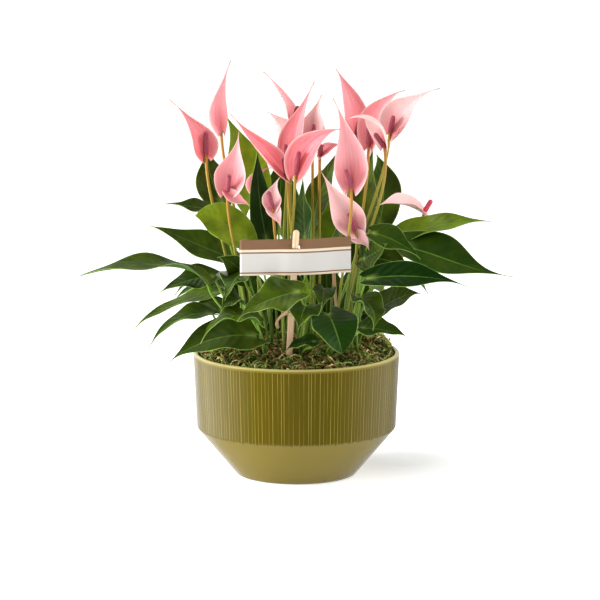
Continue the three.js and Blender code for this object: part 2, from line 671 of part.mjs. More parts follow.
/** Height of the moss at a place: a low dome with soft lumps. */
function mossHeight(x, y) {
  const share = Math.hypot(x, y) / innerRadius(MOSS_EDGE_HEIGHT);
  const humps = Math.sin(0.16 * x + 1.3) * Math.cos(0.13 * y);
  const ripples = 0.7 * Math.sin(0.09 * x - 0.21 * y + 2);
  const lumps = MOSS_LUMP * (humps + ripples) * (1 - share ** 4);
  return MOSS_EDGE_HEIGHT + MOSS_CROWN * (1 - share ** 2) + lumps;
}

/** Moss: a lumpy layer on the mix, up to the bowl's wall. */
function mossSolid() {
  const edge = innerRadius(MIX_EDGE_HEIGHT) - 2 * CLEARANCE;
  const points = [new THREE.Vector3(0, 0, MIX_EDGE_HEIGHT + MIX_CROWN + CLEARANCE)];
  const sides = PLAIN_SIDES;
  points.push(...ringPoints({ radius: edge, height: MIX_EDGE_HEIGHT + CLEARANCE, sides }));
  for (const share of MOSS_RING_SHARES) {
    for (const point of ringPoints({ radius: edge * share, height: 0, sides })) {
      point.z = mossHeight(point.x, point.y);
      points.push(point);
    }
  }
  points.push(new THREE.Vector3(0, 0, mossHeight(0, 0)));
  const triangles = [];
  const inmost = MOSS_RING_SHARES.length;
  const corner = (ring, k) => 1 + ring * sides + (k % sides);
  for (let k = 0; k < sides; k += 1) {
    triangles.push([0, corner(0, k + 1), corner(0, k)]);
    for (let ring = 0; ring < inmost; ring += 1) {
      const [a, b, c, d] = [
        corner(ring, k),
        corner(ring, k + 1),
        corner(ring + 1, k + 1),
        corner(ring + 1, k),
      ];
      triangles.push([a, b, c], [a, c, d]);
    }
    triangles.push([corner(inmost, k), corner(inmost, k + 1), points.length - 1]);
  }
  return solidOf(points, triangles);
}

/** The label's flat stick with its rounded top, made wider by a margin to cut its hole. */
function stickSolid(margin) {
  const half = STICK_WIDTH / 2 + margin;
  const reach = Math.hypot(STICK_TOP.x - STICK_FOOT.x, STICK_TOP.z - STICK_FOOT.z);
  const shape = new THREE.Shape();
  shape.moveTo(-half, -margin);
  shape.lineTo(half, -margin);
  shape.lineTo(half, reach - half);
  shape.absarc(0, reach - half, half, 0, Math.PI, false);
  const depth = STICK_THICKNESS + 2 * margin;
  const settings = { depth, bevelEnabled: false, curveSegments: 8 };
  const geometry = new THREE.ExtrudeGeometry(shape, settings);
  geometry.translate(0, 0, -depth / 2);
  geometry.rotateX(Math.PI / 2);
  geometry.rotateY(Math.atan2(STICK_TOP.x - STICK_FOOT.x, STICK_TOP.z - STICK_FOOT.z));
  geometry.translate(STICK_FOOT.x, STICK_Y, STICK_FOOT.z);
  return solidOfGeometry(geometry);
}

/** The bare card: bowed behind the stick above its slit and before it below, right half bent back. */
function cardSolid() {
  const slitHeight = CARD_HEIGHT - SLIT_FROM_TOP;
  const stickSlope = (STICK_TOP.x - STICK_FOOT.x) / (STICK_TOP.z - STICK_FOOT.z);
  const slitX = STICK_TOP.x - (STICK_TOP.z - CARD_BOTTOM - slitHeight) * stickSlope;
  const across = [CARD_LEFT, ...CARD_COLUMNS.map((x) => x + slitX), CARD_LEFT + CARD_WIDTH];
  const heights = [0, slitHeight - SLIT_HEIGHT / 2, slitHeight + SLIT_HEIGHT / 2, CARD_HEIGHT];
  const rows = (offset) =>
    heights.map((height, i) =>
      across.map((x) => {
        const beside = Math.max(Math.abs(x - slitX) - SLIT_WIDTH / 2, 0);
        const bow = CARD_BOW * Math.max(1 - beside / CARD_BOW_REACH, 0);
        const bend = CARD_BEND_BACK * Math.max(x - slitX - CARD_BEND_START, 0);
        const y = (i < 2 ? -bow : bow) + bend;
        return new THREE.Vector3(x, STICK_Y + y + offset, CARD_BOTTOM + height);
      }),
    );
  const sheet = sheetSolid(rows(-CARD_THICKNESS / 2), rows(CARD_THICKNESS / 2));
  const slit = new THREE.BoxGeometry(SLIT_WIDTH, SLIT_CUT_DEPTH, SLIT_HEIGHT);
  slit.translate(slitX, STICK_Y, CARD_BOTTOM + slitHeight);
  return sheet.subtract(solidOfGeometry(slit));
}

/** A plain material of one colour. */
const plain = (color, roughness) => new THREE.MeshStandardMaterial({ color, roughness, metalness: 0 });

const glaze = plain("#8a7d3c", 0.25);
const mix = plain("#3a2a1e", 1);
const moss = plain("#5f7038", 1);
const wood = plain("#e5cda8", 0.8);
const card = plain("#ece8e4", 0.7);
const leafGreen = plain("#2c5a18", 0.35);
const stalkBronze = plain("#9a7a2c", 0.5);
const spathePink = plain("#ee9aa4", 0.4);

const plant = new THREE.Group();
const holes = joined(standingSolids());
const pot = new THREE.Group();
pot.add(
  meshOf("bowl", bowlSolid(), glaze),
  meshOf("potting_mix", mixSolid().subtract(holes), mix),
  meshOf("moss_layer", mainBody(mossSolid().subtract(holes)), moss),
);
const label = new THREE.Group();
label.add(meshOf("label_stick", stickSolid(0), wood), meshOf("label_card", cardSolid(), card));
const foliage = new THREE.Group();
for (const name of Object.keys(CROWNS)) {
  foliage.add(meshOf(`leaf_shoot_${name}`, shootSolid(name), leafGreen));
}
const flowers = new THREE.Group();
FLOWERS.forEach((row, i) => {
  const number = String(i + 1).padStart(2, "0");
  flowers.add(
    meshOf(`flower_${number}_stalk`, stalkSolid(row, 0), stalkBronze),
    meshOf(`flower_${number}_spathe`, spatheSolid(row), spathePink),
  );
});
plant.add(pot, label, foliage, flowers);

export default plant;
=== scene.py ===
"""The looks of a flamingo flower (anthurium) that grows through moss in a wide glazed bowl.

Sizes in the tables are millimetres in the part's frame: X runs to the right and Y to the back in
the front view, Z is up, and the origin is on the surface under the middle of the bowl's foot.
Meshes are written in metres. The growing points, leaves and flowers repeat the part's own rows,
and each fine piece keeps the form of the plain solid that it stands for.
"""

from __future__ import annotations

import logging
import math
from dataclasses import dataclass, field, replace
from enum import Enum

import bmesh
import bpy
import numpy as np
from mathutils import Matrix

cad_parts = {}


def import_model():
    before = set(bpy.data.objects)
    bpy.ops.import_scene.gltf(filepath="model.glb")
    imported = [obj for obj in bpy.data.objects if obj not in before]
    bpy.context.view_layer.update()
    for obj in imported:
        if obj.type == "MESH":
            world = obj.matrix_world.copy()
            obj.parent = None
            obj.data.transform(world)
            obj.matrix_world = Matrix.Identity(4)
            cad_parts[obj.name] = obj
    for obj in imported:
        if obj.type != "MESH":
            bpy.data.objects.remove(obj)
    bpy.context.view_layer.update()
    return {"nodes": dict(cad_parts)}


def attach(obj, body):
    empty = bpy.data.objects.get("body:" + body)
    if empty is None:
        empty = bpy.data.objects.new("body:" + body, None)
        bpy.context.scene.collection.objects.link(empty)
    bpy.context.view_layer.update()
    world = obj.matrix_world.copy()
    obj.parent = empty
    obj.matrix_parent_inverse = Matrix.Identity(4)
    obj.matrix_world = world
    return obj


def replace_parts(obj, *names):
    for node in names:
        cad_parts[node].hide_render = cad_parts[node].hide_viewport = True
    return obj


MM = 0.001
SEED = 7
UP = np.array([0.0, 0.0, 1.0])
# A stem's lower handle stands this share of its reach above its foot
STEM_RISE = 0.45
# It leans this much towards what it carries, for one part upright
STEM_LEAN = 0.4
# Its upper handle lies this share of its reach back along its lean
STEM_NECK = 0.3
# A petiole ends under its blade's midrib, at this share of the blade
ROOT_PLACE = 0.1
# Two handles lifted by this much raise the middle of a cubic curve by one
HANDLE_LIFT = 4 / 3
Span = tuple[float, float]
Point = tuple[float, float, float]
Shade = tuple[float, float, float, float]
Material, Tree = bpy.types.Material, bpy.types.NodeTree
Node, Socket = bpy.types.Node, bpy.types.NodeSocket
log = logging.getLogger("flamingo_flower")


class Slot(Enum):
    """The record's material slots."""

    BOWL = "bowl_glaze"
    MOSS = "moss"
    STICK = "stick_wood"
    CARD = "card"
    LEAF = "leaf"
    STALK = "stalk"
    SPATHE = "spathe"


# Shapes


@dataclass
class Patch:
    """Points in millimetres with four-cornered faces, texture places and values of each point.

    finish is the number of each face's material, or one number for all of them.
    """

    points: np.ndarray
    faces: np.ndarray
    places: np.ndarray
    finish: np.ndarray | int = 0
    values: dict[str, np.ndarray] = field(default_factory=dict)

    def __post_init__(self) -> None:
        """Puts the points and places of a grid in one row each, and gives each face its finish."""
        self.points, self.places = self.points.reshape(-1, 3), self.places.reshape(-1, 2)
        self.finish = np.broadcast_to(self.finish, len(self.faces))


def joined(patches: list[Patch]) -> Patch:
    """Puts patches into one, each keeping its own points.

    Args:
        patches: the patches to put together.

    Returns:
        One patch. A value that a patch lacks is 0 there.
    """
    starts = np.cumsum([0] + [len(p.points) for p in patches[:-1]])
    names = sorted({name for p in patches for name in p.values})
    return Patch(
        np.concatenate([p.points for p in patches]),
        np.concatenate([p.faces + start for p, start in zip(patches, starts)]),
        np.concatenate([p.places for p in patches]),
        np.concatenate([p.finish for p in patches]),
        {n: np.concatenate([p.values.get(n, np.zeros(len(p.points))) for p in patches]) for n in names},
    )


def unit(vectors: np.ndarray) -> np.ndarray:
    """Vectors of length one."""
    return vectors / np.maximum(np.linalg.norm(vectors, axis=-1, keepdims=True), 1e-9)


def smooth(low: float, high: float, x: np.ndarray) -> np.ndarray:
    """A soft step from 0 below low to 1 above high: 3u^2 - 2u^3 of the share u between them."""
    u = np.clip((x - low) / (high - low), 0, 1)
    return u * u * (3 - 2 * u)


def turns(count: int) -> np.ndarray:
    """Angles at even steps once round, in radians."""
    return np.linspace(0, 2 * np.pi, count, endpoint=False)


def spread(*parts: np.ndarray) -> np.ndarray:
    """Coordinates over a grid from their parts, which may be a row or a column each."""
    return np.stack(np.broadcast_arrays(*parts), -1)


def grid_faces(rows: int, columns: int, closed: bool) -> np.ndarray:
    """Faces between the points of a grid that are counted row by row.

    Args:
        rows: number of rows of points.
        columns: number of points in a row.
        closed: whether the last column joins the first one.

    Returns:
        An array of four point numbers a face.
    """
    across = columns if closed else columns - 1
    row, column = np.meshgrid(np.arange(rows - 1), np.arange(across), indexing="ij")
    after = (column + 1) % columns
    corners = [row * columns + column, row * columns + after]
    corners += [(row + 1) * columns + after, (row + 1) * columns + column]
    return np.stack(corners, -1).reshape(-1, 4)


def cubic(corners: list[np.ndarray | Point], share: np.ndarray) -> tuple[np.ndarray, np.ndarray]:
    """Points and directions of a cubic curve with the weights (1-s)^3, 3s(1-s)^2, 3s^2(1-s), s^3.

    Args:
        corners: its start, two handles and end.
        share: the places s along it, from 0 to 1.

    Returns:
        The points and the unit directions.
    """
    a, b, c, d = (np.asarray(corner, float) for corner in corners)
    s = np.asarray(share, float)[:, None]
    points = a * (1 - s) ** 3 + 3 * b * s * (1 - s) ** 2 + 3 * c * s**2 * (1 - s) + d * s**3
    along = (b - a) * (1 - s) ** 2 + 2 * (c - b) * s * (1 - s) + (d - c) * s**2
    return points, unit(along)


def circles(
    path: np.ndarray, radii: np.ndarray, across: np.ndarray, second: np.ndarray, sides: int
) -> np.ndarray:
    """Circles round the points of one or more paths.

    Args:
        path: the points, with their coordinates last.
        radii: the radius at each of them.
        across: a direction square to the path at each of them.
        second: the direction square to both.
        sides: points round a circle.

    Returns:
        The points, with their place round the circle next to last.
    """
    turn = turns(sides)[:, None]
    offset = across[..., None, :] * np.cos(turn) + second[..., None, :] * np.sin(turn)
    return path[..., None, :] + radii[..., None, None] * offset


def tube(path: np.ndarray, radii: np.ndarray, sides: int, finish: int = 0) -> Patch:
    """A round rod: a circle of the local radius square to the path at each of its points.

    Args:
        path: points of the centre line.
        radii: the radius at each of them.
        sides: points round the rod.
        finish: number of its material.

    Returns:
        A closed patch. Its places run round (0 to 1) and along (0 to 1).
    """
    path = np.concatenate([path[:1], path, path[-1:]])
    radii = np.concatenate([[0.0], radii, [0.0]])
    along = np.gradient(path, axis=0)
    along[0], along[-1] = along[2], along[-3]
    along = unit(along)
    reference = np.eye(3)[np.argmin(np.abs(along).mean(0))]
    across = unit(reference - along * (along @ reference)[:, None])
    second = np.cross(along, across)
    points = circles(path, radii, across, second, sides)
    share = np.linspace(0, 1, len(path))
    places = spread(turns(sides) / (2 * np.pi), share[:, None])
    faces = grid_faces(len(path), sides, True)
    return Patch(points, faces, places, finish, {"along": np.repeat(share, sides)})


def stem_line(foot: Point, start: float, top: np.ndarray, lean: np.ndarray, steps: int) -> np.ndarray:
    """The line of a stem, a cubic curve: upright at its foot, then over to what it carries.

    Args:
        foot: where it leaves the moss.
        start: the height there.
        top: the place that it carries.
        lean: its unit direction there.
        steps: number of steps of the line.

    Returns:
        The points of the line.
    """
    free = np.array([foot[0], foot[1], start])
    reach = np.linalg.norm(top - free)
    corners = [free, free + UP * reach * STEM_RISE, top - lean * reach * STEM_NECK, top]
    return cubic(corners, np.linspace(0, 1, steps + 1))[0]


@dataclass(frozen=True)
class BladeForm:
    """The outline and cup of a kind of blade, as in the part.

    widest is the place along it where it is widest, lobe how far its base lobes reach back as a
    share of its width, and cup and tip_cup the half angles of its arc at base and tip. The tip
    hangs down from tip_start on, the lobes end at lobe_end, and row_power sets its rows closer
    to the base. base_share is its width at the base as a share of the full one, edge its least
    half width, and crease and crease_mm the depth and reach of the groove along its midrib.
    """

    widest: float
    sharpness: float
    lobe: float
    cup: float
    tip_cup: float
    thickness: float = 0.7
    edge_thinness: float = 0.55
    base_share: float = 0.3
    shoulder: float = 0.8
    edge: float = 0.35
    crease: float = 0.5
    crease_mm: float = 1.3
    tip_start: float = 0.8
    lobe_end: float = 0.35
    lobe_fade: float = 1.5
    lobe_sweep: float = 1.3
    row_power: float = 1.15
    across: tuple[float, ...] = (0.0, 0.03, 0.1, 0.24, 0.42, 0.6, 0.78, 0.9, 0.97, 1.0)
    rows: int = 26


SPATHE_WAVE = 1.2
LEAF_FORM = BladeForm(widest=0.27, sharpness=1.8, lobe=0.22, cup=25, tip_cup=35)
SPATHE_FORM = BladeForm(widest=0.24, sharpness=2.7, lobe=0.2, cup=62, tip_cup=40, crease=0.25)


@dataclass(frozen=True)
class Blade:
    """One blade: where its stalk meets it, its tip, its width and the way its upper face looks.

    rise and fall lift the midrib over a straight line near its base and tip. wave is the height
    of the waves of its edge, twist the degrees that it turns over its length, and droop how far
    its drawn-out tip hangs. tone is 0 for the darkest leaf or palest spathe and 1 for the brightest.
    """

    at: Point
    tip: Point
    width: float
    face: Point
    rise: Point = (0, 0, 0)
    fall: Point | None = None
    form: BladeForm = LEAF_FORM
    tone: float = 0.16
    wave: float = 3.0
    waves: float = 1.8
    phase: float = 0.0
    twist: float = 0.0
    droop: float = 2.0


@dataclass(frozen=True)
class BladeParts:
    """A blade's patch, with its base, its direction and upper face there, and its midrib root."""

    patch: Patch
    base: np.ndarray
    start: np.ndarray
    normal: np.ndarray
    root: np.ndarray


def outline_share(s: np.ndarray, form: BladeForm) -> np.ndarray:
    """Share of the half width at s: a quarter sine up to the widest place, then (1-u)^k (1+ku)."""
    rise = np.sin(np.pi / 2 * np.clip(s / form.widest, 0, 1)) ** form.shoulder
    u = np.clip((s - form.widest) / (1 - form.widest), 0, 1)
    fall = (1 - u) ** form.sharpness * (1 + form.sharpness * u)
    return np.where(s < form.widest, form.base_share + (1 - form.base_share) * rise, fall)


def blade_parts(blade: Blade, finish: int = 0) -> BladeParts:
    """A cupped, heart-based blade with a drawn-out tip, made as a thin closed sheet.

    A point at the place s along and t across (-1 to 1) lies on a circle arc square to the
    midrib, pushed back at the base by the lobe and up by the edge's wave. The arc turns round
    the midrib by the twist times s, and the last fifth hangs down by the square of its share.
    The upper face has a groove along the midrib and the lower one a rib.

    Args:
        blade: the blade's row.
        finish: number of its material.

    Returns:
        The blade's patch and where its stalk meets it.
    """
    form = blade.form
    base, tip, rise, face = np.array([blade.at, blade.tip, blade.rise, blade.face], float)
    fall = rise if blade.fall is None else np.array(blade.fall, float)
    handles = [base + (tip - base) / 3 + rise * HANDLE_LIFT, base + (tip - base) * 2 / 3 + fall * HANDLE_LIFT]
    corners = [base, *handles, tip]
    s = np.linspace(0, 1, form.rows) ** form.row_power
    middle, along = cubic(corners, s)
    hanging = np.maximum(s - form.tip_start, 0) / (1 - form.tip_start)
    middle = middle - UP * blade.droop * hanging[:, None] ** 2
    flat = unit(face - along * (along @ face)[:, None])
    turned = np.radians(blade.twist) * s[:, None]
    normal = flat * np.cos(turned) + np.cross(along, flat) * np.sin(turned)
    side = np.cross(along, normal)
    half = np.maximum(outline_share(s, form) * blade.width / 2, form.edge)[:, None]
    cup = np.radians(form.cup + (form.tip_cup - form.cup) * s)[:, None]
    ring = np.array([-a for a in form.across[:0:-1]] + list(form.across))
    t = np.concatenate([ring, ring[::-1]])[None, :]
    under = np.concatenate([np.zeros(len(ring)), np.ones(len(ring))])[None, :]
    turn = cup * t
    x = half / cup * np.sin(turn)
    z = half / cup * (1 - np.cos(turn))
    fullness = half / (blade.width / 2)
    wave = blade.wave * np.sin(2 * np.pi * blade.waves * s + blade.phase)[:, None]
    z = z + wave * t**2 * np.sign(t) * fullness
    lobe = form.lobe * blade.width * np.maximum(1 - s / form.lobe_end, 0)[:, None] ** form.lobe_fade
    rib = form.crease * np.exp(-((x / form.crease_mm) ** 2)) * np.minimum(fullness * 2, 1)
    lift = np.where(under > 0, -form.thickness / 2 - rib, form.thickness / 2 - rib)
    lift = lift * np.where(np.abs(t) >= 1, form.edge_thinness, 1.0)
    out = normal[:, None] * np.cos(turn)[..., None] - side[:, None] * np.sin(turn)[..., None]
    points = middle[:, None] + side[:, None] * x[..., None] + normal[:, None] * z[..., None]
    back = lobe * np.abs(t) ** form.lobe_sweep
    points = points - along[:, None] * back[..., None] + out * lift[..., None]
    columns = t.shape[1]
    faces = grid_faces(len(s), columns, True)
    k = np.arange(len(ring) - 1)
    first = np.stack([k + 1, k, columns - 1 - k, columns - 2 - k], -1)
    last = first[:, ::-1] + (len(s) - 1) * columns
    faces = np.concatenate([faces, first, last])
    values = {"tone": np.full(len(s) * columns, blade.tone), "under": np.tile(under[0], len(s))}
    patch = Patch(points, faces, spread((t + 1) / 2, s[:, None]), finish, values)
    root = cubic(corners, np.array([ROOT_PLACE]))[0][0]
    return BladeParts(patch, base, along[0], normal[0], root)


def make_piece(name: str, patch: Patch, finishes: list[Material]) -> bpy.types.Object:
    """Writes a patch into a mesh object at the origin, closes its poles and lets it ride.

    Args:
        name: the piece's name.
        patch: its points, faces and values.
        finishes: its materials, in the order of their numbers.

    Returns:
        The object.
    """
    mesh = bpy.data.meshes.new(name)
    mesh.vertices.add(len(patch.points))
    mesh.vertices.foreach_set("co", (patch.points * MM).astype(np.float32).ravel())
    corners = patch.faces.ravel().astype(np.int32)
    mesh.loops.add(len(corners))
    mesh.loops.foreach_set("vertex_index", corners)
    mesh.polygons.add(len(patch.faces))
    mesh.polygons.foreach_set("loop_start", np.arange(0, len(corners), 4, dtype=np.int32))
    for finish in finishes:
        mesh.materials.append(finish)
    mesh.polygons.foreach_set("material_index", patch.finish.astype(np.int32))
    places = patch.places[corners].astype(np.float32).ravel()
    mesh.uv_layers.new(name="UVMap").data.foreach_set("uv", places)
    for key, value in patch.values.items():
        attribute = mesh.attributes.new(key, "FLOAT", "POINT")
        attribute.data.foreach_set("value", value.astype(np.float32))
    mesh.update(calc_edges=True)
    work = bmesh.new()
    work.from_mesh(mesh)
    bmesh.ops.remove_doubles(work, verts=work.verts, dist=1e-6)
    bmesh.ops.dissolve_degenerate(work, edges=work.edges, dist=1e-7)
    work.to_mesh(mesh)
    work.free()
    mesh.polygons.foreach_set("use_smooth", np.ones(len(mesh.polygons), bool))
    mesh.update()
    piece = bpy.data.objects.new(name, mesh)
    bpy.context.scene.collection.objects.link(piece)
    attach(piece, "root")
    log.info("%s: %d faces", name, len(mesh.polygons))
    return piece


# Finishes

RGBA = {"data_type": "RGBA"}
SOFT = {"interpolation_type": "SMOOTHSTEP"}


def colour(code: str) -> Shade:
    """Linear colour of an sRGB hex value such as #8a7d3c."""
    parts = [int(code[i : i + 2], 16) / 255 for i in (1, 3, 5)]
    linear = [c / 12.92 if c <= 0.04045 else ((c + 0.055) / 1.055) ** 2.4 for c in parts]
    return (*linear, 1.0)


def add(tree: Tree, kind: str, *values, named: dict | None = None, **settings) -> Node:
    """Adds a node to a tree and fills its inputs.

    Args:
        tree: the node tree.
        kind: the node's type, without the words ShaderNode.
        values: for its inputs in use, in turn, a value, an output to link to it, or a node
            whose first output in use is linked to it.
        named: the same for inputs by their name.
        settings: the node's own settings.

    Returns:
        The node.
    """
    node = tree.nodes.new("ShaderNode" + kind)
    for name, value in settings.items():
        setattr(node, name, value)
    pairs = list(zip([socket for socket in node.inputs if socket.enabled], values))
    pairs += [(node.inputs[name], value) for name, value in (named or {}).items()]
    for socket, value in pairs:
        if isinstance(value, Node):
            value = next(output for output in value.outputs if output.enabled)
        if isinstance(value, Socket):
            tree.links.new(value, socket)
        else:
            socket.default_value = value
    return node


def new_finish(name: str) -> tuple[Material, Tree]:
    """An empty material with its node tree."""
    material = bpy.data.materials.new(name)
    material.use_nodes = True
    material.node_tree.nodes.clear()
    return material, material.node_tree


def close_finish(
    tree: Tree, inputs: dict, height: Node | None = None, strength: float = 0.0, depth: float = 0.0
) -> None:
    """Ends a tree with a bump where there is a height, its surface shader and the output.

    Args:
        tree: the node tree.
        inputs: what the shader gets, by name.
        height: the node that gives the height, or None.
        strength: strength of its bump, from 0 to 1.
        depth: depth of its bump, in metres.
    """
    if height is not None:
        bump = {"Strength": strength, "Distance": depth, "Height": height}
        inputs = {**inputs, "Normal": add(tree, "Bump", named=bump)}
    add(tree, "OutputMaterial", add(tree, "BsdfPrincipled", named=inputs))


def layered(tree: Tree, ground: object, *layers: tuple) -> Node:
    """Lays colours over a ground, each by its own share.

    Args:
        tree: the node tree.
        ground: the colour or node below them all.
        layers: for each, the node or output of its share and its sRGB hex value.

    Returns:
        The node of the top layer.
    """
    for share, code in layers:
        ground = add(tree, "Mix", share, ground, colour(code), **RGBA)
    return ground


def fill_ramp(ramp: Node, steps: tuple[float, ...], shades: tuple[str, ...]) -> None:
    """Gives a colour ramp its shades at steps that run from 0 to 1."""
    elements = ramp.color_ramp.elements
    elements[0].color, elements[1].color = colour(shades[0]), colour(shades[-1])
    for step, code in zip(steps[1:-1], shades[1:-1]):
        elements.new(step).color = colour(code)


def blade_places(tree: Tree) -> tuple[Node, Socket]:
    """The place across a blade, from 0 at its midrib to 1 at its edge, and the place along it."""
    place = add(tree, "SeparateXYZ", add(tree, "UVMap", uv_map="UVMap"))
    centred = add(tree, "Math", place, 0.5, operation="SUBTRACT")
    side = add(tree, "Math", centred, operation="ABSOLUTE")
    return add(tree, "Math", side, 2.0, operation="MULTIPLY"), place.outputs[1]


@dataclass(frozen=True)
class LeafFinish:
    """Living anthurium leaf: a waxy, leathery blade, dark on top, with light ribs and margin.

    The wax gives a broad soft sheen, and the light midrib and margin draw each leaf's shape.
    Places across a blade run from 0 at its midrib to 1 at its edge.
    """

    shades: tuple[str, ...] = ("#092402", "#1a3604", "#35470a", "#647c10", "#98b01c")
    steps: tuple[float, ...] = (0.0, 0.08, 0.2, 0.5, 1.0)
    rib: str = "#6c9636"
    margin: str = "#96b454"
    below: str = "#45702a"
    veins: float = 9.0
    vein_sweep: float = 1.9
    vein_width: float = 0.09
    vein_share: float = 0.016
    rib_reach: Span = (0.01, 0.045)
    rib_share: float = 0.5
    margin_reach: Span = (0.96, 0.995)
    margin_share: float = 0.65
    below_share: float = 0.7
    root_length: float = 0.16
    root_share: float = 0.55
    blotch_mm: float = 22.0
    sheen: Span = (0.3, 0.5)

    def material(self) -> Material:
        """Builds the material from the blade's own places: across, along, tone and under."""
        material, tree = new_finish("waxy_anthurium_leaf")
        across, along = blade_places(tree)
        tone = add(tree, "Attribute", attribute_name="tone").outputs["Fac"]
        under = add(tree, "Attribute", attribute_name="under").outputs["Fac"]
        counted = add(tree, "Math", along, self.veins, operation="MULTIPLY")
        swept = add(tree, "Math", across, self.vein_sweep, operation="MULTIPLY")
        phase = add(tree, "Math", counted, swept, operation="SUBTRACT")
        wave = add(tree, "Math", phase, 0.5, operation="PINGPONG")
        vein = add(tree, "MapRange", wave, 0.0, self.vein_width, self.vein_share, 0.0, **SOFT)
        quilt = add(tree, "MapRange", wave, 0.0, 0.5, **SOFT)
        rib = add(tree, "MapRange", across, *self.rib_reach, self.rib_share, 0.0, **SOFT)
        edge = add(tree, "MapRange", across, *self.margin_reach, 0.0, self.margin_share, **SOFT)
        spot = add(tree, "TexCoord").outputs["Object"]
        blotch = add(tree, "TexNoise", spot, 1000 / self.blotch_mm, 3.0)
        drift = add(tree, "MapRange", blotch, 0.3, 0.7, 0.7, 1.4)
        green = add(tree, "ValToRGB", add(tree, "Math", tone, drift, operation="MULTIPLY"))
        fill_ramp(green, self.steps, self.shades)
        pale = add(tree, "Math", under, self.below_share, operation="MULTIPLY")
        root = add(tree, "MapRange", along, 0.0, self.root_length, self.root_share, 0.0, **SOFT)
        inner = add(tree, "MapRange", across, 0.0, 0.5, 1.0, 0.0, **SOFT)
        glow = add(tree, "Math", root, inner, operation="MULTIPLY")
        shade = layered(
            tree, green, (vein, self.rib), (rib, self.rib), (pale, self.below), (glow, self.margin),
            (edge, self.margin),
        )
        rough = add(tree, "MapRange", under, 0.0, 1.0, *self.sheen)
        height = add(tree, "Math", quilt, add(tree, "TexNoise", spot, 900.0, 2.0), operation="ADD")
        close_finish(tree, {"Base Color": shade, "Roughness": rough, "IOR": 1.36}, height, 0.38, 0.001)
        return material


@dataclass(frozen=True)
class SpatheFinish:
    """Living anthurium spathe: a thick waxy bract, pink, deeper at its base and olive at its tip.

    It gives the eye a soft satin sheen, faint lengthwise veins and a creamy margin.
    """

    pale: str = "#e6c4c0"
    pink: str = "#ec8890"
    deep: str = "#dc4654"
    heart: str = "#cc2c3a"
    margin: str = "#ecd0c4"
    tip: str = "#9c9068"
    heart_length: float = 0.42
    heart_shares: Span = (0.85, 0.1)
    veins: float = 4.5
    vein_share: float = 0.1
    cloud_stretch: Point = (19.0, 2.6, 1.0)
    cloud_share: float = 0.42
    margin_reach: Span = (0.8, 1.0)
    margin_share: float = 0.5
    tip_reach: Span = (0.86, 0.99)
    tip_share: float = 0.85

    def material(self) -> Material:
        """Builds the material from the spathe's own places: across, along and tone."""
        material, tree = new_finish("waxy_pink_spathe")
        across, along = blade_places(tree)
        tone = add(tree, "Attribute", attribute_name="tone").outputs["Fac"]
        pink = add(tree, "MapRange", tone, 0.0, 0.5)
        deep = add(tree, "MapRange", tone, 0.5, 1.0)
        near = add(tree, "MapRange", along, 0.0, self.heart_length, 1.0, 0.0, **SOFT)
        middle = add(tree, "MapRange", across, 0.0, 0.95, *self.heart_shares, **SOFT)
        heart = add(tree, "Math", near, middle, operation="MULTIPLY")
        lines = add(tree, "Math", across, self.veins, operation="MULTIPLY")
        wave = add(tree, "Math", lines, 0.5, operation="PINGPONG")
        vein = add(tree, "MapRange", wave, 0.0, 0.2, self.vein_share, 0.0, **SOFT)
        lengthwise = {"Vector": add(tree, "UVMap", uv_map="UVMap"), "Scale": self.cloud_stretch}
        cloud = add(tree, "TexNoise", add(tree, "Mapping", named=lengthwise), 1.0, 4.0, 0.65)
        faded = add(tree, "MapRange", cloud, 0.36, 0.74, 0.0, self.cloud_share)
        edge = add(tree, "MapRange", across, *self.margin_reach, 0.0, self.margin_share, **SOFT)
        point = add(tree, "MapRange", along, *self.tip_reach, 0.0, self.tip_share, **SOFT)
        shade = layered(
            tree, colour(self.pale), (pink, self.pink), (deep, self.deep), (heart, self.heart),
            (vein, self.heart), (faded, self.pale), (edge, self.margin), (point, self.tip),
        )
        close_finish(tree, {
            "Base Color": shade, "Roughness": 0.3, "IOR": 1.45, "Subsurface Weight": 0.08,
            "Subsurface Radius": (0.004, 0.0015, 0.001), "Subsurface Scale": 0.5,
        }, wave, 0.25, 0.0005)
        return material


@dataclass(frozen=True)
class StemFinish:
    """Living stalk or petiole: a smooth waxy stem whose colour runs along it from foot to top.

    A value tone of its own moves the colours down a riper stem and up a greener one.
    """

    name: str
    foot: str
    middle: str
    top: str
    middle_place: float = 0.62
    streak: str = "#5c7a2a"
    streak_share: float = 0.35
    streak_stretch: Point = (900.0, 900.0, 60.0)

    def material(self) -> Material:
        """Builds the material from the stem's value along, with fine lengthwise streaks."""
        material, tree = new_finish(self.name)
        along = add(tree, "Attribute", attribute_name="along").outputs["Fac"]
        ripe = add(tree, "Attribute", attribute_name="tone").outputs["Fac"]
        ramp = add(tree, "ValToRGB", add(tree, "Math", along, ripe, operation="ADD"))
        fill_ramp(ramp, (0.0, self.middle_place, 1.0), (self.foot, self.middle, self.top))
        stretched = {"Vector": add(tree, "TexCoord").outputs["Object"], "Scale": self.streak_stretch}
        streak = add(tree, "TexNoise", add(tree, "Mapping", named=stretched), 1.0, 2.0)
        share = add(tree, "MapRange", streak, 0.35, 0.7, 0.0, self.streak_share)
        shade = layered(tree, ramp, (share, self.streak))
        close_finish(tree, {"Base Color": shade, "Roughness": 0.38, "IOR": 1.45}, streak, 0.2, 0.0003)
        return material


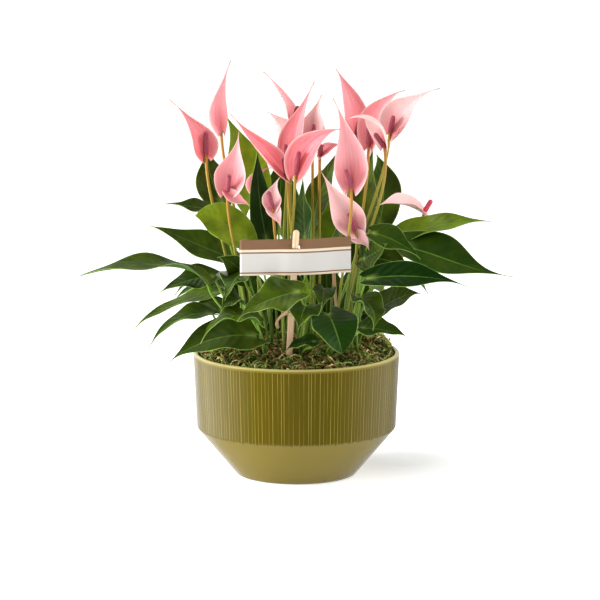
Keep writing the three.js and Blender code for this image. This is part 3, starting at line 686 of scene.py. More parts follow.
@dataclass(frozen=True)
class SpadixFinish:
    """Spadix: hundreds of tiny set flowers, maroon in the hollows and paler on each bump."""

    hollow: str = "#7e1030"
    bump: str = "#eaa8b2"
    young: str = "#cc3048"
    bump_reach: Span = (0.5, 0.85)
    bump_share: float = 0.95

    def material(self) -> Material:
        """Builds the material from the value knob, the height of the tiny flowers, and the tone."""
        material, tree = new_finish("beaded_spadix")
        knob = add(tree, "Attribute", attribute_name="knob").outputs["Fac"]
        share = add(tree, "MapRange", knob, *self.bump_reach, 0.0, self.bump_share, **SOFT)
        young = add(tree, "Attribute", attribute_name="tone").outputs["Fac"]
        shade = layered(tree, colour(self.hollow), (young, self.young), (share, self.bump))
        grain = add(tree, "TexNoise", add(tree, "TexCoord").outputs["Object"], 1500.0, 2.0)
        close_finish(tree, {"Base Color": shade, "Roughness": 0.5, "IOR": 1.4}, grain, 0.3, 0.0003)
        return material


@dataclass(frozen=True)
class GlazeFinish:
    """Stoneware under a glossy olive reactive glaze, dipped over a combed band.

    The glaze pools dark between the combed lines, breaks lighter on each of them and on the
    rim, and is plain and lighter below the band.
    """

    pooled: str = "#54490a"
    line: str = "#9a8a3e"
    plain: str = "#736524"
    rim: str = "#b0a566"
    line_mm: float = 4.4
    line_reach: Span = (0.02, 0.085)
    patch_stretch: Point = (160.0, 7.0, 1.0)
    band_bottom_mm: Span = (51.5, 54.0)
    band_top_mm: Span = (134.0, 135.5)
    rim_mm: Span = (136.2, 138.0)
    ragged_mm: float = 1.2

    def material(self) -> Material:
        """Builds the material from the places round (metres) and up (metres) the bowl."""
        material, tree = new_finish("olive_reactive_glaze")
        uv = add(tree, "UVMap", uv_map="UVMap")
        combed = add(tree, "TexVoronoi", add(tree, "SeparateXYZ", uv), 1000 / self.line_mm,
                     named={"Randomness": 0.75}, voronoi_dimensions="1D", feature="DISTANCE_TO_EDGE")
        thin = add(tree, "MapRange", combed, *self.line_reach, 1.0, 0.0, **SOFT)
        patchy = add(tree, "Mapping", named={"Vector": uv, "Scale": self.patch_stretch})
        noise = add(tree, "TexNoise", patchy, 1.0, 2.0, noise_dimensions="2D")
        strength = add(tree, "MapRange", noise, 0.34, 0.66, 0.15, 1.0)
        lines = add(tree, "Math", thin, strength, operation="MULTIPLY")
        height = add(tree, "SeparateXYZ", add(tree, "TexCoord").outputs["Object"]).outputs[2]
        ragged = add(tree, "MapRange", noise, 0.3, 0.7, -self.ragged_mm * MM, self.ragged_mm * MM)
        level = add(tree, "Math", height, ragged, operation="ADD")
        above = add(tree, "MapRange", level, *(MM * z for z in self.band_bottom_mm))
        below = add(tree, "MapRange", height, *(MM * z for z in self.band_top_mm), 1.0, 0.0)
        band = add(tree, "Math", above, below, operation="MULTIPLY")
        broken = layered(tree, colour(self.pooled), (lines, self.line))
        glazed = add(tree, "Mix", band, colour(self.plain), broken, **RGBA)
        edge = add(tree, "MapRange", height, *(MM * z for z in self.rim_mm))
        shade = layered(tree, glazed, (edge, self.rim))
        relief = add(tree, "Math", lines, band, operation="MULTIPLY")
        close_finish(tree, {"Base Color": shade, "Roughness": 0.14, "IOR": 1.42}, relief, 0.06, 0.0003)
        return material


@dataclass(frozen=True)
class MossFinish:
    """Dried carpet moss: matt curly strands from deep green to brown and straw."""

    shades: tuple[str, ...] = ("#282010", "#586424", "#9eac5c", "#664224", "#b48854", "#ecd4a4")
    steps: tuple[float, ...] = (0.0, 0.28, 0.52, 0.7, 0.85, 1.0)
    mottle: float = 0.16

    def material(self) -> Material:
        """Builds the material from each strand's tone, mottled along it."""
        material, tree = new_finish("dried_carpet_moss")
        tone = add(tree, "Attribute", attribute_name="tone").outputs["Fac"]
        noise = add(tree, "TexNoise", add(tree, "TexCoord").outputs["Object"], 220.0, 3.0)
        drift = add(tree, "MapRange", noise, 0.3, 0.7, -self.mottle, self.mottle)
        ramp = add(tree, "ValToRGB", add(tree, "Math", tone, drift, operation="ADD"))
        fill_ramp(ramp, self.steps, self.shades)
        matt = {"Base Color": ramp, "Roughness": 0.9, "Specular IOR Level": 0.2}
        close_finish(tree, matt, noise, 0.6, 0.001)
        return material


@dataclass(frozen=True)
class MixFinish:
    """Moist peat and bark mix: dark, crumbly and matt, seen only through the moss."""

    peat: str = "#22170f"
    bark: str = "#4a3322"
    crumb_mm: float = 4.0

    def material(self) -> Material:
        """Builds the material from crumbs of the mix's size."""
        material, tree = new_finish("peat_and_bark_mix")
        crumb = add(tree, "TexVoronoi", add(tree, "TexCoord").outputs["Object"], 1000 / self.crumb_mm)
        shade = layered(tree, colour(self.bark), (crumb, self.peat))
        close_finish(tree, {"Base Color": shade, "Roughness": 0.95}, crumb, 0.8, 0.002)
        return material


@dataclass(frozen=True)
class WoodFinish:
    """Sawn and sanded birch: pale, with fine grain along the stick, and darker towards its foot."""

    light: str = "#ecd6b2"
    grain: str = "#cfae84"
    darker_foot: str = "#b98c6c"
    grain_stretch: Point = (900.0, 900.0, 25.0)
    darker_foot_mm: Span = (150.0, 270.0)
    darker_foot_share: float = 0.75

    def material(self) -> Material:
        """Builds the material with grain lines about 1 mm apart along the stick."""
        material, tree = new_finish("sanded_birch")
        spot = add(tree, "TexCoord").outputs["Object"]
        stretched = add(tree, "Mapping", named={"Vector": spot, "Scale": self.grain_stretch})
        noise = add(tree, "TexNoise", stretched, 1.0, 4.0)
        grain = add(tree, "MapRange", noise, 0.4, 0.62)
        height = add(tree, "SeparateXYZ", spot).outputs[2]
        # The stick grows darker downwards: fully darker at 150 mm high and not at all above 270 mm.
        darker_foot = add(tree, "MapRange", height, *(MM * z for z in self.darker_foot_mm), self.darker_foot_share, 0.0)
        shade = layered(tree, colour(self.light), (grain, self.grain), (darker_foot, self.darker_foot))
        close_finish(tree, {"Base Color": shade, "Roughness": 0.6}, noise, 0.25, 0.0003)
        return material


@dataclass(frozen=True)
class CardFinish:
    """Bare printed card: matt off-white board with a brown head band and thin brown lines."""

    board: str = "#c6c3be"
    cream: str = "#dccbb3"
    brown: str = "#7e5c3e"
    band_mm: Span = (28.8, 99.0)
    lines_mm: tuple[Span, ...] = ((2.2, 3.7), (24.4, 26.0))
    field_mm: Span = (3.7, 24.4)
    blur_mm: float = 0.1

    def material(self) -> Material:
        """Builds the material from the card's own place up, in millimetres."""
        material, tree = new_finish("printed_board")
        place = add(tree, "SeparateXYZ", add(tree, "UVMap", uv_map="UVMap")).outputs[1]
        up = add(tree, "Math", place, 1 / MM, operation="MULTIPLY")
        shade = colour(self.cream)
        zones = [(*self.field_mm, self.board), (*self.band_mm, self.brown)]
        zones += [(*line, self.brown) for line in self.lines_mm]
        for low, high, code in zones:
            over = add(tree, "MapRange", up, low - self.blur_mm, low + self.blur_mm)
            under = add(tree, "MapRange", up, high - self.blur_mm, high + self.blur_mm, 1.0, 0.0)
            shade = layered(tree, shade, (add(tree, "Math", over, under, operation="MULTIPLY"), code))
        fibre = add(tree, "TexNoise", add(tree, "TexCoord").outputs["Object"], 1800.0, 3.0)
        close_finish(tree, {"Base Color": shade, "Roughness": 0.55}, fibre, 0.12, 0.0002)
        return material


# Pieces


@dataclass
class Bowl:
    """The glazed bowl: a combed upright band over a plain taper, turned round Z.

    Under the band runs an arc from corner_start degrees up to the level, its middle corner_rise
    over the band's foot. foot_steps round the foot, each by how far it lies out from the foot's
    radius and up. comb_drift holds the slower waves in the comb's steps, by count and strength.
    """

    sides: int = 400
    rim_radius: float = 115.0
    rim_height: float = 139.0
    band_bottom_radius: float = 111.5
    band_bottom_height: float = 54.0
    band_top_height: float = 131.0
    foot_radius: float = 64.0
    wall: float = 5.0
    floor_thickness: float = 8.0
    corner_radius: float = 4.0
    corner_start: float = -52.0
    corner_rise: float = 1.5
    lip_radius: float = 2.5
    foot_steps: tuple[Span, ...] = ((-2.0, 0.0), (1.0, 0.35), (3.2, 1.5), (5.0, 3.5))
    inner_rim_height: float = 120.0
    floor_corner: float = 3.0
    comb_depth: float = 0.08
    combs: int = 100
    comb_drift: tuple[Span, ...] = ((3.0, 1.5), (7.0, 2.0))
    comb_margin: float = 0.5
    comb_fade: float = 2.5
    inside_points: int = 8

    def profile(self) -> np.ndarray:
        """Radius and height of the wall, from the foot's middle up the outside and down inside."""
        corner = np.radians(np.linspace(self.corner_start, 0, 7))
        bend = self.corner_radius * spread(np.cos(corner), np.sin(corner))
        bend[:, 0] += self.band_bottom_radius - self.corner_radius
        bend[:, 1] += self.band_bottom_height + self.corner_rise
        rise = np.linspace(0.02, 1, 12)[:, None]
        band = bend[-1] + (np.array([self.rim_radius, self.band_top_height]) - bend[-1]) * rise
        lip = np.radians(np.linspace(0, 180, 13))
        rim = self.lip_radius * spread(np.cos(lip), np.sin(lip))
        rim += [self.rim_radius - self.lip_radius, self.rim_height - self.lip_radius]
        foot = [[0, 0]] + [[self.foot_radius + out, up] for out, up in self.foot_steps]
        taper = np.linspace(0, 1, 8)[1:-1, None]
        side = np.array(foot[-1]) + (bend[0] - foot[-1]) * taper
        top, middle, low = (radius - self.wall for radius in
                            (self.rim_radius, self.band_bottom_radius, self.foot_radius))
        inside = [[top, self.inner_rim_height], [middle, self.band_bottom_height]]
        inside += [[low, self.floor_thickness + self.floor_corner], [0, self.floor_thickness]]
        return np.concatenate([foot, side, bend, band, rim, inside])

    def build(self, finish: Material) -> None:
        """Turns the profile, with the comb's shallow grooves in the band.

        A groove is one wave of a cosine round the bowl, whose steps vary by two slower sines.

        Args:
            finish: the bowl's material.
        """
        profile = self.profile()
        turn = turns(self.sides) + np.pi / 2
        radius, height = profile[:, :1], profile[:, 1:]
        outside = (np.arange(len(profile)) < len(profile) - self.inside_points)[:, None]
        low, high = self.band_bottom_height + self.comb_margin, self.band_top_height
        window = smooth(low, low + self.comb_fade, height) * outside
        window = window * (1 - smooth(high - self.comb_fade, high, height))
        drift = sum(strength * np.sin(count * turn) for count, strength in self.comb_drift)
        groove = 0.5 - 0.5 * np.cos(self.combs * turn + drift)
        radius = radius - self.comb_depth * window * groove[None, :]
        points = spread(radius * np.cos(turn), radius * np.sin(turn), height)
        faces = grid_faces(len(profile), self.sides, True)
        along = np.concatenate([[0], np.cumsum(np.linalg.norm(np.diff(profile, axis=0), axis=1))])
        # The place round the bowl runs once there and back, so that it has no seam
        around = np.abs(np.linspace(-1, 1, self.sides, endpoint=False)) * np.pi * self.rim_radius
        patch = Patch(points, faces, MM * spread(around, along[:, None]))
        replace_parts(make_piece("glazed_bowl", patch, [finish]), "bowl")


@dataclass
class Moss:
    """The moss cover: a lumpy carpet with thousands of short curly strands.

    mound is the place and height of a tuft that rises at its right, which mound_share of the
    strands grow on, and straggle how far those strands lie from its middle. Strands on it are
    browner by brown_share, which sets in between the two distances of brown_reach.
    """

    radius: float = 109.75
    edge_height: float = 136.2
    crown: float = 10.5
    lump: float = 2.6
    edge_radius: float = 108.6
    bottom: float = 124.0
    strands: int = 3600
    strand_mm: Span = (8.0, 24.0)
    strand_radius: float = 0.85
    girth: Span = (0.55, 1.45)
    taper: tuple[float, ...] = (1.0, 1.0, 0.9, 0.7, 0.25)
    curl: float = 1.3
    hump: Span = (0.08, 0.45)
    sink: float = 0.4
    mound: Point = (86.0, 30.0, 15.0)
    mound_radius: float = 27.0
    mound_share: float = 0.16
    straggle: Span = (10.0, 13.0)
    brown_reach: Span = (26.0, 8.0)
    brown_share: float = 0.3
    foot_margin: float = 2.5
    tip_margin: float = 1.0

    def height(self, x: np.ndarray, y: np.ndarray) -> np.ndarray:
        """Height of the carpet: a low dome with the part's humps and ripples, and one mound."""
        share = np.hypot(x, y) / self.radius
        humps = np.sin(0.16 * x + 1.3) * np.cos(0.13 * y)
        ripples = 0.7 * np.sin(0.09 * x - 0.21 * y + 2)
        lumps = self.lump * (humps + ripples) * (1 - share**4)
        far = np.hypot(x - self.mound[0], y - self.mound[1]) / self.mound_radius
        mound = self.mound[2] * np.exp(-(far**2)) * (1 - 0.75 * share**8)
        return self.edge_height + self.crown * (1 - share**2) + lumps + mound

    def carpet(self) -> Patch:
        """The closed carpet under the strands: rings of points from its middle to a deep edge."""
        shares = np.concatenate([[0.0], np.linspace(0.03, 1, 34)])[:, None]
        turn = turns(120)
        x, y = self.edge_radius * shares * np.cos(turn), self.edge_radius * shares * np.sin(turn)
        tufts = 0.7 * np.sin(0.9 * x + 2 * np.sin(0.35 * y)) * np.sin(0.8 * y + 2 * np.sin(0.4 * x))
        z = self.height(x, y) + tufts * (1 - shares**6)
        top = np.stack([x, y, z], -1)
        below = top[[-1, 0]].copy()
        below[..., 2] = self.bottom
        points = np.concatenate([below[1:], below[:1], top[::-1]]).reshape(-1, 3)
        faces = grid_faces(len(shares) + 2, len(turn), True)
        tone = 0.16 + 0.12 * np.sin(0.2 * points[:, 0]) * np.sin(0.17 * points[:, 1])
        return Patch(points, faces, points[:, :2] * MM, values={"tone": tone})

    def strand_patch(self) -> Patch:
        """All strands at once: each is a three-sided tapered rod along a curled arc.

        A strand starts in the carpet at a random place and runs in a random direction that
        turns by its curl. At the share s of its length L it arches up by L h sin(pi s)^0.9.

        Returns:
            The strands' patch, with each strand's own tone from green to brown and straw.
        """
        rng = np.random.default_rng(SEED)
        n, rings, sides = self.strands, len(self.taper), 3
        foot_reach = self.edge_radius - self.foot_margin
        reach = foot_reach * np.sqrt(rng.random(n))
        turn = rng.random(n) * 2 * np.pi
        x, y = reach * np.cos(turn), reach * np.sin(turn)
        extra = rng.random(n) < self.mound_share
        x = np.where(extra, self.mound[0] + rng.normal(0, self.straggle[0], n), x)
        y = np.where(extra, self.mound[1] + rng.normal(0, self.straggle[1], n), y)
        inside = np.minimum(1, foot_reach / np.maximum(np.hypot(x, y), 1))
        x, y = x * inside, y * inside
        length = rng.uniform(*self.strand_mm, n)
        heading = rng.random(n) * 2 * np.pi
        curl = rng.normal(0, self.curl, n)
        hump = rng.uniform(*self.hump, n)
        s = np.linspace(0, 1, rings)
        bearing = heading[:, None] + curl[:, None] * s
        step = length[:, None] / (rings - 1)
        px = x[:, None] + np.cumsum(step * np.cos(bearing), 1) - step * np.cos(bearing[:, :1])
        py = y[:, None] + np.cumsum(step * np.sin(bearing), 1) - step * np.sin(bearing[:, :1])
        far = np.maximum(np.hypot(px, py) / (self.edge_radius - self.tip_margin), 1)
        px, py = px / far, py / far
        arch = length[:, None] * hump[:, None] * np.sin(np.pi * s) ** 0.9
        pz = self.height(px, py) - self.sink + arch
        path = np.stack([px, py, pz], -1)
        along = unit(np.gradient(path, axis=1))
        across = unit(np.cross(along, UP))
        second = np.cross(across, along)
        radii = self.strand_radius * rng.uniform(*self.girth, n)[:, None] * np.array(self.taper)
        points = circles(path, radii, across, second, sides)
        faces = grid_faces(rings, sides, True)[None] + (np.arange(n) * rings * sides)[:, None, None]
        brown = smooth(*self.brown_reach, np.hypot(x - self.mound[0], y - self.mound[1]))
        patches = 0.22 * np.sin(0.11 * x + 2 * np.sin(0.05 * y)) * np.sin(0.13 * y + 1.7)
        tone = np.clip(rng.beta(1.3, 1.6, n) + patches + self.brown_share * brown, 0, 1)
        places = np.zeros((n * rings * sides, 2))
        return Patch(points, faces.reshape(-1, 4), places, values={"tone": np.repeat(tone, rings * sides)})

    def build(self, finish: Material) -> None:
        """Makes the cover in one piece."""
        patch = joined([self.carpet(), self.strand_patch()])
        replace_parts(make_piece("moss_cover", patch, [finish]), "moss_layer")


def flattened(wave: np.ndarray) -> np.ndarray:
    """A sine or cosine pressed towards the corners of a square: sign(v) |v|^0.4."""
    return np.sign(wave) * np.abs(wave) ** 0.4


@dataclass
class Label:
    """The bare label: a flat stick threaded through a slit in a card that bends back."""

    stick_width: float = 7.0
    stick_thickness: float = 1.6
    stick_top: Span = (0.0, 288.0)
    stick_foot: Span = (-10.5, 104.3)
    stick_y: float = -76.0
    card_left: float = -62.0
    card_width: float = 122.0
    card_height: float = 40.0
    card_thickness: float = 0.6
    card_bottom: float = 238.0
    bend_back: float = 0.22
    bend_reach: Span = (5.0, 48.0)
    bow_reach: float = 14.0
    stick_clearance: float = 0.4
    card_tilt: float = 0.016
    slit_width: float = 10.0
    slit_height: float = 3.0
    slit_from_top: float = 9.0

    def slope(self) -> float:
        """Sideways lean of the stick for each millimetre of height."""
        (top_x, top_z), (foot_x, foot_z) = self.stick_top, self.stick_foot
        return (top_x - foot_x) / (top_z - foot_z)

    def stick(self) -> Patch:
        """The stick: a flat oval section |x/a|^5 + |y/b|^5 = 1 along its line, with a round top."""
        a = self.stick_width / 2
        top = np.array([self.stick_top[0], self.stick_y, self.stick_top[1]])
        foot = np.array([self.stick_foot[0], self.stick_y, self.stick_foot[1]])
        reach = np.linalg.norm(top - foot)
        along = (top - foot) / reach
        shoulder = reach - a
        arc = np.radians(np.arange(8, 91, 8.2))
        up = np.concatenate([np.linspace(0, shoulder, 20), shoulder + a * np.sin(arc)])
        half = np.where(up > shoulder, np.sqrt(np.maximum(a**2 - (up - shoulder) ** 2, 0)), a)
        half = np.concatenate([[0.0], half, [0.0]])
        up = np.concatenate([up[:1], up, [reach]])
        turn = turns(28)
        across = np.array([along[2], 0, -along[0]])
        depth = np.minimum(half, self.stick_thickness / 2)
        points = foot + up[:, None, None] * along
        points = points + (half[:, None] * flattened(np.cos(turn)))[..., None] * across
        points = points + (depth[:, None] * flattened(np.sin(turn)))[..., None] * np.array([0, 1.0, 0])
        places = spread(turn / (2 * np.pi), up[:, None] * MM)
        return Patch(points, grid_faces(len(up), len(turn), True), places)

    def card(self) -> Patch:
        """The card: a sheet that bows round the stick at its slit and bends back to the right.

        It lies before the stick below the slit and behind it above, by a bow that fades beside
        the slit, and its right part runs back at the bend's slope, which sets in softly.
        """
        slit_z = self.card_height - self.slit_from_top
        slit_x = self.stick_top[0] - (self.stick_top[1] - self.card_bottom - slit_z) * self.slope()
        half = self.slit_width / 2
        near = np.linspace(-half, half, 9)
        left = np.linspace(self.card_left - slit_x, -half, 22)[:-1]
        right = np.linspace(half, self.card_left + self.card_width - slit_x, 24)[1:]
        x = np.concatenate([left, near, right])
        low, high = slit_z - self.slit_height / 2, slit_z + self.slit_height / 2
        below = np.linspace(0, low, 12)
        z = np.concatenate([below, np.linspace(high, self.card_height, 8)])
        bow = self.stick_thickness / 2 + self.card_thickness / 2 + self.stick_clearance
        beside = np.maximum(np.abs(x) - half, 0)
        bow = bow * (1 - smooth(0, self.bow_reach, beside))
        bend = self.bend_back * np.maximum(x - self.bend_reach[0], 0) * smooth(*self.bend_reach, x)
        y = np.where(z[:, None] < slit_z, -bow, bow) + bend
        rise = z[:, None] + self.card_bottom + self.card_tilt * x
        grid = spread(x[None, :] + slit_x, y + self.stick_y, rise)
        faces = grid_faces(len(z), len(x), False)
        row, column = np.divmod(np.arange(len(faces)), len(x) - 1)
        middle = (x[:-1] + x[1:]) / 2
        open_slit = (row == len(below) - 1) & (np.abs(middle[column]) < half)
        faces = faces[~open_slit]
        back = self.card_thickness / 2
        points = grid.reshape(-1, 3)
        count = len(points)
        both = np.concatenate([points - [0, back, 0], points + [0, back, 0]])
        pairs = np.concatenate([faces[:, [k, (k + 1) % 4]] for k in range(4)])
        key = np.sort(pairs, 1) @ np.array([count, 1])
        _, first, times = np.unique(key, return_index=True, return_counts=True)
        edges = pairs[first[times == 1]]
        rim = np.stack([edges[:, 1], edges[:, 0], edges[:, 0] + count, edges[:, 1] + count], -1)
        faces = np.concatenate([faces, faces[:, ::-1] + count, rim])
        places = spread(x[None, :], z[:, None]).reshape(-1, 2) * MM
        return Patch(both, faces, np.tile(places, (2, 1)))

    def build(self, wood: Material, board: Material) -> None:
        """Makes the stick and the card."""
        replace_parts(make_piece("wooden_stick", self.stick(), [wood]), "label_stick")
        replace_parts(make_piece("bare_card", self.card(), [board]), "label_card")


@dataclass
class Shoots:
    """The leaf shoots: each a short crown in the mix with its petioles and blades.

    A petiole starts petiole_depth under the crown's top with its radius swollen by foot_swell,
    thins along its length, and ends under the midrib, rib_depth below it half way there, where
    end_shares of its radius are left. The blades of a shoot differ by phase_step in their waves
    and by sway in their twist.
    """

    crown_top: float = 147.0
    crown_bottom: float = 104.3
    crown_radius: float = 5.5
    crown_cap: float = 1.5
    crown_taper: tuple[float, ...] = (1.0, 1.0, 1.0, 1.0, 0.95, 0.85, 0.74, 0.66, 0.45)
    crown_shade: float = 0.05
    petiole_radius: float = 1.3
    petiole_ring: float = 2.8
    petiole_depth: float = 3.0
    foot_swell: float = 0.45
    swell_length: float = 0.25
    thinning: float = 0.1
    end_shares: Span = (0.75, 0.3)
    rib_depth: float = 0.5
    phase_step: float = 2.1
    sway: float = 9.0

    def crown(self, x: float, y: float) -> Patch:
        """The crown: a rod that swells out of the moss and closes between the petioles."""
        height = np.linspace(self.crown_bottom, self.crown_top + self.crown_cap, len(self.crown_taper))
        patch = tube(spread(x, y, height), self.crown_radius * np.array(self.crown_taper), 14, 1)
        # The crown takes the dark colour of a petiole's foot, which is painted shade in the moss.
        patch.values = {"along": np.full(len(patch.points), self.crown_shade)}
        return patch

    def leaf(self, blade: Blade, x: float, y: float, index: int, count: int) -> Patch:
        """One leaf: the blade, and the petiole that runs in under its midrib.

        Args:
            blade: the blade's row.
            x: the crown's place to the right.
            y: its place to the back.
            index: the leaf's number in its shoot.
            count: how many leaves the shoot has.

        Returns:
            The leaf's patch.
        """
        twist = blade.twist + (self.sway if index % 2 else -self.sway)
        parts = blade_parts(replace(blade, phase=blade.phase + self.phase_step * index, twist=twist))
        turn = 2 * np.pi * index / count
        foot = (x + self.petiole_ring * math.cos(turn), y + self.petiole_ring * math.sin(turn), 0)
        lean = unit(UP + parts.start * STEM_LEAN)
        joint = parts.base - parts.normal * self.petiole_radius * self.end_shares[0]
        line = stem_line(foot, self.crown_top - self.petiole_depth, joint, lean, 18)
        # The petiole goes on under the midrib in two more steps and thins out there
        below = (joint + parts.root) / 2 - parts.normal * self.rib_depth
        line = np.concatenate([line, [below, parts.root]])
        share = np.linspace(0, 1, len(line))
        swell = self.foot_swell * (1 - smooth(0, self.swell_length, share))
        radii = self.petiole_radius * (1 + swell - self.thinning * share)
        radii[-2:] = self.petiole_radius * np.array(self.end_shares)
        return joined([parts.patch, tube(line, radii, 8, 1)])

    def build(self, leaf: Material, petiole: Material) -> None:
        """Makes each shoot in one piece."""
        for name, (x, y) in CROWNS.items():
            rows = LEAVES[name]
            leaves = [self.leaf(row, x, y, i, len(rows)) for i, row in enumerate(rows)]
            patch = joined([self.crown(x, y), *leaves])
            piece = make_piece(f"shoot_{name}", patch, [leaf, petiole])
            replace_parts(piece, f"leaf_shoot_{name}")


@dataclass(frozen=True)
class Flower:
    """One flower: its stalk's foot in the moss, its spathe and lobes, and its spadix's tip.

    young is 1 where the spadix is still pink-red and 0 where it is ripe and maroon.
    """

    foot: Span
    spathe: Blade
    spadix: Point
    lobes: tuple[Blade, ...] = ()
    young: float = 0.0


@dataclass
class Flowers:
    """The flowers: each a stalk with its beaded spadix, and a spathe seated behind them.

    A stalk swells by collar over the end of its length. A spadix has the share waist of its
    radius at its foot, is full from waist_length on, thins by taper and rounds off at its tip.
    """

    stalk_radius: float = 1.6
    stem_bottom: float = 104.3
    straight_top: float = 150.0
    collar: float = 0.12
    collar_start: float = 0.9
    spadix_radius: float = 3.0
    spadix_rows: int = 44
    spadix_sides: int = 28
    waist: float = 0.62
    waist_length: float = 0.18
    taper: float = 0.12
    tip_start: float = 0.84
    knob_height: float = 0.11
    knobs: int = 4
    knob_pitch: float = 1.1
    ripeness: float = -0.1
    ripe_spread: float = 0.1
    seat: float = 2.3

    def stalk(self, flower: Flower) -> Patch:
        """The stalk up to the spathe, and the spadix on its end.

        The spadix is a rod whose radius rounds off at the tip and carries knobs where two
        sets of spirals cross: |sin(na + kz) sin(na - kz)| for the angle a and the length z.

        Args:
            flower: the flower's row.

        Returns:
            Their patch.
        """
        top = np.array(flower.spathe.at, float)
        reach = np.array(flower.spadix, float) - top
        lean = unit(unit(reach) * STEM_LEAN + UP)
        line = stem_line((*flower.foot, 0), self.straight_top, top, lean, 24)
        bottom = np.array([[*flower.foot, self.stem_bottom]])
        line = np.concatenate([bottom, line])
        share = np.linspace(0, 1, len(line))
        radii = self.stalk_radius * (1 + self.collar * smooth(self.collar_start, 1, share))
        stalk = tube(line, radii, 12)
        # Each stalk is a little riper or greener by the place of its foot
        ripe = self.ripeness + self.ripe_spread * math.sin(2.4 * sum(flower.foot) + 2)
        stalk.values["tone"] = np.full(len(stalk.points), ripe)
        rows, sides = self.spadix_rows, self.spadix_sides
        s = np.linspace(0, 1, rows)
        rounding = np.sqrt(1 - ((s - self.tip_start) / (1 - self.tip_start)).clip(0, 1) ** 2)
        girth = self.waist + (1 - self.waist) * smooth(0, self.waist_length, s)
        girth = girth * (1 - self.taper * s) * rounding
        path = top + reach * s[:, None]
        spadix = tube(path, self.spadix_radius * girth, sides, 1)
        around = self.knobs * turns(sides)
        up = np.concatenate([s[:1], s, s[-1:]])[:, None] * np.linalg.norm(reach) * self.knob_pitch
        knob = np.abs(np.sin(around + up) * np.sin(around - up))
        centre = np.concatenate([path[:1], path, path[-1:]])[:, None]
        shape = spadix.points.reshape(rows + 2, sides, 3)
        swell = (1 + self.knob_height * (knob - 0.5))[..., None]
        spadix.points = (centre + (shape - centre) * swell).reshape(-1, 3)
        spadix.values = {"knob": knob.ravel(), "tone": np.full(knob.size, flower.young)}
        return joined([stalk, spadix])

    def spathe(self, flower: Flower) -> Patch:
        """The spathe with its lobes, moved back by the seat so that the stalk passes before it."""
        face = unit(np.array(flower.spathe.face, float))
        blades = []
        for blade in (flower.spathe, *flower.lobes):
            seated = tuple(np.array(blade.at, float) - face * self.seat)
            blades.append(blade_parts(replace(blade, at=seated)).patch)
        return joined(blades)

    def build(self, stalk: Material, spadix: Material, spathe: Material) -> None:
        """Makes each flower's two pieces."""
        for number, flower in enumerate(FLOWERS, 1):
            rod = make_piece(f"stalk_{number:02d}", self.stalk(flower), [stalk, spadix])
            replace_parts(rod, f"flower_{number:02d}_stalk")
            bract = make_piece(f"spathe_{number:02d}", self.spathe(flower), [spathe])
            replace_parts(bract, f"flower_{number:02d}_spathe")


@dataclass
class LowLeaves:
    """Small leaves at the back that grow out of the moss between the shoots, in the darkest leaf tone, which
    is painted shade.
    """

    # The darkest tone stands in for the shade low between the shoots: painted shade.
    tone: float = 0.02

    def build(self, leaf: Material) -> None:
        """Makes them as one piece, with each leaf's base in the moss."""
        blades = [blade_parts(replace(blade, tone=self.tone)).patch for blade in LOW_LEAVES]
        make_piece("low_leaves", joined(blades), [leaf])


@dataclass
class DryStems:
    """Two dry petioles, broken off and left between the living ones."""

    radius: float = 1.7
    shrivel: float = 0.2

    def build(self, finish: Material) -> None:
        """Makes both as one piece that stands in the moss."""
        share = np.linspace(0, 1, 12)
        radii = self.radius * (1 + self.shrivel * np.sin(9 * share))
        patches = [tube(cubic(corners, share)[0], radii, 8) for corners in DRY_STEMS]
        make_piece("dry_petioles", joined(patches), [finish])


